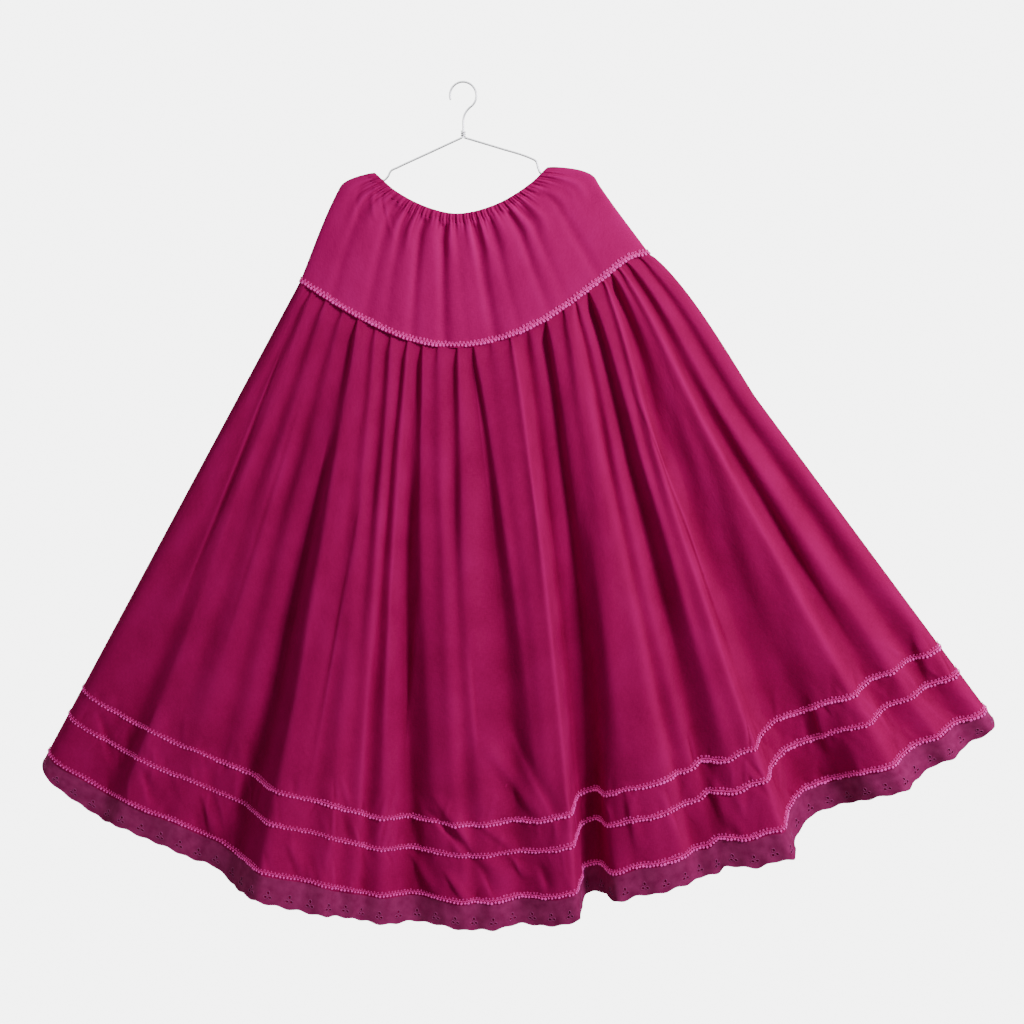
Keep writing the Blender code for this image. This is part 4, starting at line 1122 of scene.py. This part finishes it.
def flat_motif(pitch):
    """Points and triangles of one scallop, with its eyelets left out; x across, y up from the tips."""
    half = pitch / 2
    count = round(pitch / MOTIF_STEP)
    bottom = [(x, scallop_edge(x, pitch)) for x in np.linspace(-half, half, count + 1)]
    rows = np.linspace(SCALLOP_RISE, EDGING_DROP, round((EDGING_DROP - SCALLOP_RISE) / MOTIF_STEP) + 1)
    right = [(half, y) for y in rows[1:]]
    top = [(x, EDGING_DROP) for x in np.linspace(half, -half, count + 1)[1:]]
    left = [(-half, y) for y in rows[-2:0:-1]]
    outline = bottom + right + top + left
    points, loops = [Vector(p) for p in outline], [list(range(len(outline)))]
    for e in EYELETS:
        start = len(points)
        for k in range(EYELET_SIDES):
            angle = 2 * math.pi * k / EYELET_SIDES
            points.append(Vector((e.x + e.half_width * math.cos(angle), e.rise + e.half_height * math.sin(angle))))
        loops.append(list(range(start, start + EYELET_SIDES)))

    def to_eyelet(e, x, y, room=0.0):
        """Below 1 inside an eyelet, which room makes wider."""
        return math.hypot((x - e.x) / (e.half_width + room), (y - e.rise) / (e.half_height + room))

    def clear(x, y):
        inside = scallop_edge(x, pitch) + CLEARANCE < y < EDGING_DROP - CLEARANCE and abs(x) < half - CLEARANCE
        return inside and all(to_eyelet(e, x, y, CLEARANCE) > 1 for e in EYELETS)

    for r, y in enumerate(np.arange(1.5, EDGING_DROP, MOTIF_STEP)):
        for x in np.arange(-half + MOTIF_STEP / 2 * (1 + r % 2), half, MOTIF_STEP):
            if clear(x, y):
                points.append(Vector((x, y)))
    edges = [(a, b) for loop in loops for a, b in zip(loop, loop[1:] + loop[:1])]
    found = delaunay_2d_cdt(points, edges, [], 0, 1e-5)
    flat, faces = [tuple(p) for p in found[0]], []
    for face in found[2]:
        x, y = (sum(flat[i][k] for i in face) / 3 for k in (0, 1))
        hole = any(to_eyelet(e, x, y) < 0.97 for e in EYELETS)
        if not hole and y > scallop_edge(x, pitch) - 0.05:
            area = sum(flat[face[i]][0] * flat[face[(i + 1) % 3]][1] - flat[face[(i + 1) % 3]][0] * flat[face[i]][1]
                       for i in range(3))
            faces.append(tuple(face) if area > 0 else tuple(face)[::-1])
    return np.array(flat), faces


print("points and triangles of one scallop:", [len(part) for part in flat_motif(30.0)])

# %% The strip that the scallops are bent onto
EDGING_UNEVEN = 0.08        # how much shorter, as a share, the edging hangs where it has shrunk or curled


class EdgingSurface:
    """The smooth strip below a panel's hem, as a place and a direction for each flat point."""

    def __init__(self, panel, seed):
        self.panel = panel
        self.levels = np.linspace(1.0, 1.0 + EDGING_DROP / DROP, 9)
        self.places = np.linspace(0, panel.width, int(panel.width))
        grid = panel.surface(self.levels, self.places)
        waves = np.clip(wave_field(self.places * 1.2, np.zeros(1), seed + 3, 0.5)[0], -1, 1)
        uneven = 1.0 - EDGING_UNEVEN * (0.5 + 0.5 * waves)
        grid = grid[0] + (grid - grid[0]) * (uneven * (1.0 - edging_lost(self.places, panel)))[None, :, None]
        lift = edging_lift(panel, self.places, (self.levels - 1.0) * DROP, seed)
        self.grid = grid + normals(grid) * lift[..., None]
        self.out = normals(self.grid)

    def at(self, place, fall):
        """Points and outward directions at places along the hem and falls below the seam."""
        c = np.clip(place / self.panel.width * (len(self.places) - 1), 0, len(self.places) - 1.001)
        r = np.clip(fall / EDGING_DROP * (len(self.levels) - 1), 0, len(self.levels) - 1.001)
        i, j = r.astype(int), c.astype(int)
        fr, fc = (r - i)[:, None], (c - j)[:, None]
        found = []
        for source in (self.grid, self.out):
            top = source[i, j] * (1 - fc) + source[i, j + 1] * fc
            low = source[i + 1, j] * (1 - fc) + source[i + 1, j + 1] * fc
            found.append(top * (1 - fr) + low * fr)
        return found[0], unit(found[1])


edging_surfaces = {side: EdgingSurface(panel, EDGING_SEEDS[side]) for side, panel in panels.items()}
print("strips of", [round(surface.panel.width) for surface in edging_surfaces.values()], "mm")

# %% Bend the scallops onto the hem
SAME_POINT = 0.05           # mm within which the points of two scallops are one
for side, surface in edging_surfaces.items():
    panel = surface.panel
    pitch = panel.width / SCALLOPS
    flat_points, flat_faces = flat_motif(pitch)
    keys, uvs, faces = {}, [], []
    for s in range(SCALLOPS):
        middle = (s + 0.5) * pitch
        index = []
        for x, y in flat_points:
            key = (round((middle + x) / SAME_POINT), round(y / SAME_POINT))
            if key not in keys:
                keys[key] = len(uvs)
                uvs.append((middle + x, EDGING_DROP - y))
            index.append(keys[key])
        faces += [tuple(index[i] for i in face) for face in flat_faces]
    flat = np.array(uvs)
    centre, out = surface.at(flat[:, 0], flat[:, 1] + SEAM_GAP)
    count = len(flat)
    both = faces + [tuple(i + count for i in face)[::-1] for face in faces]
    sides = {(a, b): True for face in faces for a, b in zip(face, face[1:] + face[:1])}
    both += [(b, a, a + count, b + count) for a, b in sides if (b, a) not in sides]
    points = np.concatenate([centre + out * EDGING_WALL / 2, centre - out * EDGING_WALL / 2])
    uv = np.concatenate([flat, flat]) * MM
    thing = make_object(f"cutwork_edging_{side}", points, both, cutwork, panel.turn, uv)
    dress(thing, f"lace_{side}")

# %% [markdown]
# ## Oversewn rims
# Each hole is bound with satin stitch, and so is the scalloped edge: rows of tight thread that stand a
# little above the cloth and catch the light. They are thin round threads along the same outlines.

# %% Round threads and wires
def tube(path, radius, sides, closed, start=0):
    """Points and faces of a round thread along a path."""
    path = np.asarray(path)
    tangent = unit(np.roll(path, -1, axis=0) - np.roll(path, 1, axis=0) if closed else np.gradient(path, axis=0))
    side = unit(np.cross(tangent, (0.0, -1.0, 0.02)))
    up = np.cross(side, tangent)
    turns = [2 * math.pi * k / sides for k in range(sides)]
    points = np.stack([path + radius * (math.cos(t) * side + math.sin(t) * up) for t in turns], axis=1)
    count = len(path)
    faces = []
    for i in range(count if closed else count - 1):
        here, there = start + i * sides, start + (i + 1) % count * sides
        for k in range(sides):
            n = (k + 1) % sides
            faces.append((here + k, here + n, there + n, there + k))
    if not closed:
        last = start + (count - 1) * sides
        faces += [tuple(range(start, start + sides))[::-1], tuple(range(last, last + sides))]
    return points.reshape(-1, 3), faces


# Rayon embroidery thread in satin stitch: glossier than the cloth, with fine ridges across the rim.
satin = stitched("rayon_satin_stitch", "#8E2860", "#B04482", Patches(0.714, 1.0), Patches(0.714, 1.0),
                 (0.6, 0.4), 0.6, 0.15)
print("thread material:", satin.name)

# %% Rims of the eyelets and of the scallops
# Each rim: the thread's radius and how far its middle lies from the cut edge, in mm, and its sides.
Rim = namedtuple("Rim", "radius off sides")
EYELET_RIM, SCALLOP_RIM = Rim(0.6, 0.5, 5), Rim(0.8, 0.7, 6)
SCALLOP_STEPS = 12
for side, surface in edging_surfaces.items():
    panel = surface.panel
    pitch = panel.width / SCALLOPS
    points, faces = [], []

    def add_thread(places, rises, rim, closed):
        path, out = surface.at(np.asarray(places), EDGING_DROP - np.asarray(rises) + SEAM_GAP)
        start = sum(len(part) for part in points)
        made, made_faces = tube(path + out * EDGING_WALL / 2, rim.radius, rim.sides, closed, start)
        points.append(made)
        faces.extend(made_faces)

    angles = np.linspace(0, 2 * math.pi, EYELET_SIDES, endpoint=False)
    for s in range(SCALLOPS):
        for e in EYELETS:
            add_thread((s + 0.5) * pitch + e.x + (e.half_width + EYELET_RIM.off) * np.cos(angles),
                       e.rise + (e.half_height + EYELET_RIM.off) * np.sin(angles), EYELET_RIM, True)
    x = np.linspace(-pitch / 2, pitch / 2, SCALLOP_STEPS + 1)[:-1]
    places = np.concatenate([(s + 0.5) * pitch + x for s in range(SCALLOPS)] + [[panel.width]])
    rises = np.concatenate([np.tile(scallop_edge(x, pitch), SCALLOPS), [SCALLOP_RISE]]) + SCALLOP_RIM.off
    add_thread(places, rises, SCALLOP_RIM, False)
    thing = make_object(f"satin_rims_{side}", np.concatenate(points), faces, satin, panel.turn, sharp=180)
    dress(thing)

# %% [markdown]
# ## Picot braid by Geometry Nodes
# Picot braid is a plaited core with a row of small loops on each edge. The same three shapes repeat every
# few millimetres along seven hundred places, which is what instancing is for. The guide is a line
# of edges on the cloth that carries the cloth's outward direction, so every loop lies flat on its fold.


# %% Braid tree
PLAIT_TURN = math.radians(28)
# Places beside the guide line, in metres: along it, up the cloth and out of it.
FIRST_STRAND, SECOND_STRAND = (0.0, 0.0004, 0.0009), (0.0013, -0.0004, 0.0007)
LOWER_LOOPS, UPPER_LOOPS = (0.0, -0.0031, 0.0014), (0.0026, 0.0029, 0.0006)
BRAID_SIZES = {"Plait pitch": 0.0028, "Plait width": 0.42, "Loop pitch": 0.0054, "Lower loop": 0.0010,
               "Lower thread": 0.00085, "Upper loop": 0.0010, "Upper thread": 0.00036, "Unevenness": 0.2}
BRAID_COUNTS = {"Seed": 0, "Ring steps": 8, "Thread sides": 4}
DRAWN_PATCH = 62.5                              # mm of cloth over which the stitching draws the braid in
DRAWN_IN, DRAWN_OUT = 0.85, 1.12                # the braid's size where it is drawn in, and where it is slack
LEFT_END, RIGHT_END = (-0.55, 0.8), (0.55, 1.14)    # x in metres and the braid's size there


def braid_tree(loops, painted_shade_material):
    """Plait, lower and upper loops along a guide line; the lower loops take the first material and the rest a
    darker copy of the same rayon, as painted shade.
    """
    tree = bpy.data.node_groups.new("picot_braid", "GeometryNodeTree")
    tree.interface.new_socket("Geometry", in_out="INPUT", socket_type="NodeSocketGeometry")
    for values, kind in ((BRAID_SIZES, "NodeSocketFloat"), (BRAID_COUNTS, "NodeSocketInt")):
        for name, value in values.items():
            tree.interface.new_socket(name, in_out="INPUT", socket_type=kind).default_value = value
    tree.interface.new_socket("Geometry", in_out="OUTPUT", socket_type="NodeSocketGeometry")
    given = add_node(tree, "NodeGroupInput").outputs
    guide = add_node(tree, "GeometryNodeMeshToCurve", None, {"Mesh": given["Geometry"]})
    out = add_node(tree, "GeometryNodeInputNamedAttribute", {"Name": "out"}, data_type="FLOAT_VECTOR")
    tangent = add_node(tree, "GeometryNodeInputTangent")
    lie = add_node(tree, "FunctionNodeAlignRotationToVector", None, {"Vector": tangent.outputs[0]}, axis="X")
    face = add_node(tree, "FunctionNodeAlignRotationToVector", None,
                    {"Rotation": lie.outputs[0], "Vector": out.outputs["Attribute"]}, axis="Z", pivot_axis="X")
    spot = add_node(tree, "GeometryNodeInputPosition")
    slow = add_node(tree, "ShaderNodeTexNoise", {"Scale": per_metre(DRAWN_PATCH), "Detail": 1.0},
                    {"Vector": spot.outputs[0]})
    drawn = add_node(tree, "ShaderNodeMapRange", {"From Min": 0.35, "From Max": 0.65, "To Min": DRAWN_IN,
                     "To Max": DRAWN_OUT}, {"Value": slow.outputs[0]})
    side = add_node(tree, "ShaderNodeSeparateXYZ", None, {"Vector": spot.outputs[0]})
    fuller = add_node(tree, "ShaderNodeMapRange", {"From Min": LEFT_END[0], "From Max": RIGHT_END[0],
                      "To Min": LEFT_END[1], "To Max": RIGHT_END[1]}, {"Value": side.outputs[0]})
    stretch = add_node(tree, "ShaderNodeMath", None, {0: drawn.outputs[0], 1: fuller.outputs[0]},
                       operation="MULTIPLY")

    def repeat(shape, pitch, move, seed_offset, turn=0.0):
        """Copies of a shape at every pitch of the guide, each of its own size."""
        placed = add_node(tree, "GeometryNodeTransform", {"Translation": move, "Rotation": (0.0, 0.0, turn)},
                          {"Geometry": shape})
        dots = add_node(tree, "GeometryNodeResampleCurve", None, {"Curve": guide.outputs[0], "Length": pitch},
                        mode="LENGTH")
        seed = add_node(tree, "ShaderNodeMath", {1: float(seed_offset)}, {0: given["Seed"]}, operation="ADD")
        low, high = (add_node(tree, "ShaderNodeMath", {0: 1.0}, {1: given["Unevenness"]}, operation=sum_or_rest)
                     for sum_or_rest in ("SUBTRACT", "ADD"))
        size = add_node(tree, "FunctionNodeRandomValue", None,
                        {"Min": low.outputs[0], "Max": high.outputs[0], "Seed": seed.outputs[0]},
                        data_type="FLOAT_VECTOR")
        full = add_node(tree, "ShaderNodeVectorMath", None, {0: size.outputs[0], 3: stretch.outputs[0]},
                        operation="SCALE")
        copies = add_node(tree, "GeometryNodeInstanceOnPoints", None,
                          {"Points": dots.outputs[0], "Instance": placed.outputs[0],
                           "Rotation": face.outputs[0], "Scale": full.outputs[0]})
        return copies.outputs[0]

    def finished(rows, material):
        joined = add_node(tree, "GeometryNodeJoinGeometry")
        for socket in rows:
            tree.links.new(socket, joined.inputs[0])
        real = add_node(tree, "GeometryNodeRealizeInstances", None, {"Geometry": joined.outputs[0]})
        smooth = add_node(tree, "GeometryNodeSetShadeSmooth", None, {"Geometry": real.outputs[0]})
        return add_node(tree, "GeometryNodeSetMaterial", {"Material": material}, {"Geometry": smooth.outputs[0]})

    def loop(radius, thread):
        ring, section = (add_node(tree, "GeometryNodeCurvePrimitiveCircle", None,
                                  {"Radius": given[size], "Resolution": given[steps]})
                         for size, steps in ((radius, "Ring steps"), (thread, "Thread sides")))
        return add_node(tree, "GeometryNodeCurveToMesh", None,
                        {"Curve": ring.outputs[0], "Profile Curve": section.outputs[0]}).outputs[0]

    ball = add_node(tree, "GeometryNodeMeshUVSphere", {"Segments": 5, "Rings": 3, "Radius": 0.001})
    girth = add_node(tree, "ShaderNodeCombineXYZ", {"X": 1.9, "Z": 0.6}, {"Y": given["Plait width"]})
    strand = add_node(tree, "GeometryNodeTransform", None, {"Geometry": ball.outputs[0], "Scale": girth.outputs[0]})
    plait = [repeat(strand.outputs[0], given["Plait pitch"], move, seed_offset, turn) for move, seed_offset, turn in
             ((FIRST_STRAND, 1, PLAIT_TURN), (SECOND_STRAND, 2, -PLAIT_TURN))]
    lower = repeat(loop("Lower loop", "Lower thread"), given["Loop pitch"], LOWER_LOOPS, 3)
    upper = repeat(loop("Upper loop", "Upper thread"), given["Loop pitch"], UPPER_LOOPS, 4)
    whole = add_node(tree, "GeometryNodeJoinGeometry")
    # The plait and upper loops take the darker copy, which is painted shade.
    for done in (finished([*plait, upper], painted_shade_material), finished([lower], loops)):
        tree.links.new(done.outputs[0], whole.inputs[0])
    add_node(tree, "NodeGroupOutput", None, {"Geometry": whole.outputs[0]})
    return tree


# Rayon gimp, bright pink: viscose is glossier than the cloth. On top of that, its colour glows at this
# strength as painted light, which makes it brighter than the lamps make it.
PAINTED_GLOW = 0.18
# The two materials are lit and shaded copies of one rayon: the second, darker one is painted shade.
picot, picot_painted_shade = (stitched(name, dark, bright, Patches(2.38, 2.0), Patches(0.556, 1.0), (0.6, 0.4), 0.5, 0.25,
                              spread=(0.3, 0.72), painted_glow=PAINTED_GLOW) for name, dark, bright in
                     (("rayon_picot_braid", "#FF38B4", "#FF64D0"), ("rayon_braid_painted_shade", "#E22C98", "#FF48BA")))
picot_tree = braid_tree(picot, picot_painted_shade)
print("braid tree:", len(picot_tree.nodes), "nodes")


# %% Growing a row of braid
def grown(thing, tree, values):
    """Runs a node tree on an object and keeps the result as its plain mesh."""
    modifier = thing.modifiers.new("grow", "NODES")
    modifier.node_group = tree
    for item in tree.interface.items_tree:
        if item.item_type == "SOCKET" and item.in_out == "INPUT" and item.name in values:
            modifier[item.identifier] = values[item.name]
    done = thing.evaluated_get(bpy.context.evaluated_depsgraph_get())
    mesh = bpy.data.meshes.new_from_object(done)
    thing.modifiers.remove(modifier)
    old, thing.data = thing.data, mesh
    bpy.data.meshes.remove(old)
    mesh.name = thing.name


def guide_line(name, points, out, turn):
    """A line of edges in metres whose points carry the cloth's outward direction."""
    spin = np.array([turn, turn, 1.0])
    mesh = bpy.data.meshes.new(name)
    mesh.from_pydata((points * spin * MM).tolist(), [(i, i + 1) for i in range(len(points) - 1)], [])
    mesh.attributes.new("out", "FLOAT_VECTOR", "POINT").data.foreach_set("vector", (out * spin).ravel())
    thing = bpy.data.objects.new(name, mesh)
    bpy.context.collection.objects.link(thing)
    return thing


# The yoke's row is sewn on full and flat, with large picots on both sides; the hem's rows are pulled thinner.
ROW_SIZES = {
    "yoke": {"Lower loop": 0.0013, "Lower thread": 0.0010, "Upper loop": 0.0012, "Upper thread": 0.0007,
             "Plait width": 0.95},
    "upper": {"Lower loop": 0.0011, "Lower thread": 0.0008},
    "middle": {"Lower loop": 0.0010, "Lower thread": 0.0007},
    "lower": {"Lower loop": 0.0011, "Lower thread": 0.0008},
}
# The hidden side's loops have fewer faces.
SIDE_SIZES = {"front": {}, "back": {"Ring steps": 6, "Thread sides": 3, "Plait pitch": 0.0036}}
BACK_SEED = 7
print("rows of braid:", list(ROW_SIZES))

# %% Rows of braid
braid_objects = {"front": [], "back": []}
for side, sizes in SIDE_SIZES.items():
    levels, places, outer, out = panel_grids[side]
    rows = [(name, levels, outer, out, level) for name, level in
            (("upper", UPPER_BRAID_AT), ("middle", MIDDLE_BRAID_AT), ("lower", LOWER_BRAID_AT))]
    across, drops, outer, out, _ = yoke_grids[side]
    rows.append(("yoke", drops, outer, out, yokes[side].length - BRAID_HEIGHT / 2 - 0.5))
    for name, heights, outer, out, at in rows:
        thing = guide_line(f"picot_{name}_{side}", row_at(heights, outer, at), unit(row_at(heights, out, at)),
                           panels[side].turn)
        seed = len(name) + (BACK_SEED if side == "back" else 0)
        grown(thing, picot_tree, {"Seed": seed, **sizes, **ROW_SIZES[name]})
        braid_objects[side].append(thing)
        dress(thing, f"trim_{name}_{side}")

# %% [markdown]
# ## The hanger
# The hanger is one length of galvanised steel wire, 3 mm thick, bent cold: a hook, two arms and a bar,
# with its end wound round the neck. Cold bends have a radius of about twice the wire. The wire
# is a round tube along a smooth route, and the winding is a short helix.

# %% Hanger wire
WIRE_RADIUS = 1.5
HOOK_RADIUS = 19.0
NECK_Z = -75.0
# The end that is wound round the neck: its radius, rise for each turn and turns, and its drawn-out wire.
COIL_RADIUS, COIL_PITCH, COIL_TURNS, COIL_WIRE = 2.6, 3.1, 2.5, 1.15
WIRE_SIDES, COIL_SIDES = 12, 10
ARM_LEFT = ((-2.0, -76.0), (-50, -97.5), (-96, -118), (-105, -122.5), (-110, -131), (-116, -136),
            (-124, -133), (-134, -132.2), (-154, -136.3), (-171, -145), (-180, -157), (-184, -178),
            (-183, -195), (-177, -205), (-172, -206.3), (-168, -206))
ARM_RIGHT = ((2.0, -76.0), (50, -90), (98, -105), (105, -109), (108, -118), (112, -126),
             (119, -127), (128, -124), (143, -122.8), (172, -128.8), (185, -135.8), (190.5, -146), (195, -164),
             (195, -176), (189, -183), (184, -184.1), (180, -184.4))
BAR = ((-167.6, -206.0), (179.6, -184.4))


def hook_route():
    """The neck, and then an arc that ends in front of it."""
    centre_z = WIRE_RADIUS - HOOK_RADIUS
    route = [(0.0, NECK_Z - WIRE_RADIUS), (0.0, -62.0), (0.3, -50.0), (3.0, -42.0), (8.0, -35.5)]
    for k in range(17):
        angle = math.radians(-42 + 15 * k)
        route.append((HOOK_RADIUS * math.cos(angle), centre_z + HOOK_RADIUS * math.sin(angle)))
    return route


def galvanised_wire():
    """Galvanised steel: zinc is pale and half matt, with a faint frosting of crystals."""
    made, tree, shader = new_material("galvanised_steel_wire")
    where = add_node(tree, "ShaderNodeTexCoord")
    frost = add_node(tree, "ShaderNodeTexNoise", {"Scale": per_metre(3.85), "Detail": 3.0},
                     {"Vector": where.outputs["Object"]})
    ramp = add_node(tree, "ShaderNodeValToRGB", None, {"Fac": frost.outputs[0]})
    ramp.color_ramp.elements[0].color = to_linear("#B4B5B8")
    ramp.color_ramp.elements[1].color = to_linear("#E4E5E7")
    tree.links.new(ramp.outputs[0], shader.inputs["Base Color"])
    rough = add_node(tree, "ShaderNodeMapRange", {"To Min": 0.28, "To Max": 0.46}, {"Value": frost.outputs[0]})
    tree.links.new(rough.outputs[0], shader.inputs["Roughness"])
    shader.inputs["Metallic"].default_value = 1.0
    bump = add_node(tree, "ShaderNodeBump", {"Strength": 0.2, "Distance": 0.0003}, {"Height": frost.outputs[0]})
    tree.links.new(bump.outputs[0], shader.inputs["Normal"])
    return made


steel = galvanised_wire()
print("wire material:", steel.name)

# %% Hook, arms and bar
for name, route, steps in (("hook", hook_route(), 90), ("arm_left", ARM_LEFT, 150), ("arm_right", ARM_RIGHT, 150),
                           ("bar", BAR, 8)):
    line = along(route, np.linspace(0, 1, steps + 1))
    path = np.stack([line[:, 0], np.zeros(len(line)), line[:, 1]], -1)
    points, faces = tube(path, WIRE_RADIUS, WIRE_SIDES, False)
    if name == "hook":
        turns = np.linspace(0, COIL_TURNS * 2 * math.pi, 61)
        coil = np.stack([COIL_RADIUS * np.cos(turns), COIL_RADIUS * np.sin(turns),
                         NECK_Z + 0.5 + turns / (2 * math.pi) * COIL_PITCH], -1)
        more, more_faces = tube(coil, COIL_WIRE, COIL_SIDES, False, len(points))
        points, faces = np.concatenate([points, more]), faces + more_faces
    dress(make_object(f"wire_{name}", points, faces, steel, sharp=60), f"hanger_{name}")

# %% [markdown]
# ## Cut sizes
# Each sheet says what it was cut to before it was gathered or hung, so its area can be compared with the
# cloth in the model. The cut sizes here are those of what shows.

# %% Seam rows
for side in ("front", "back"):
    across, drops, outer, out, yoke_thing = yoke_grids[side]
    panel = panels[side]
    seam_row = np.linalg.norm(np.diff(panel.corners(np.array([0.0]))[0], axis=0), axis=1).sum()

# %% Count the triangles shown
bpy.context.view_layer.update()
triangles = sum(len(p.vertices) - 2 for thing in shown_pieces() for p in thing.data.polygons)
print("triangles shown:", triangles)
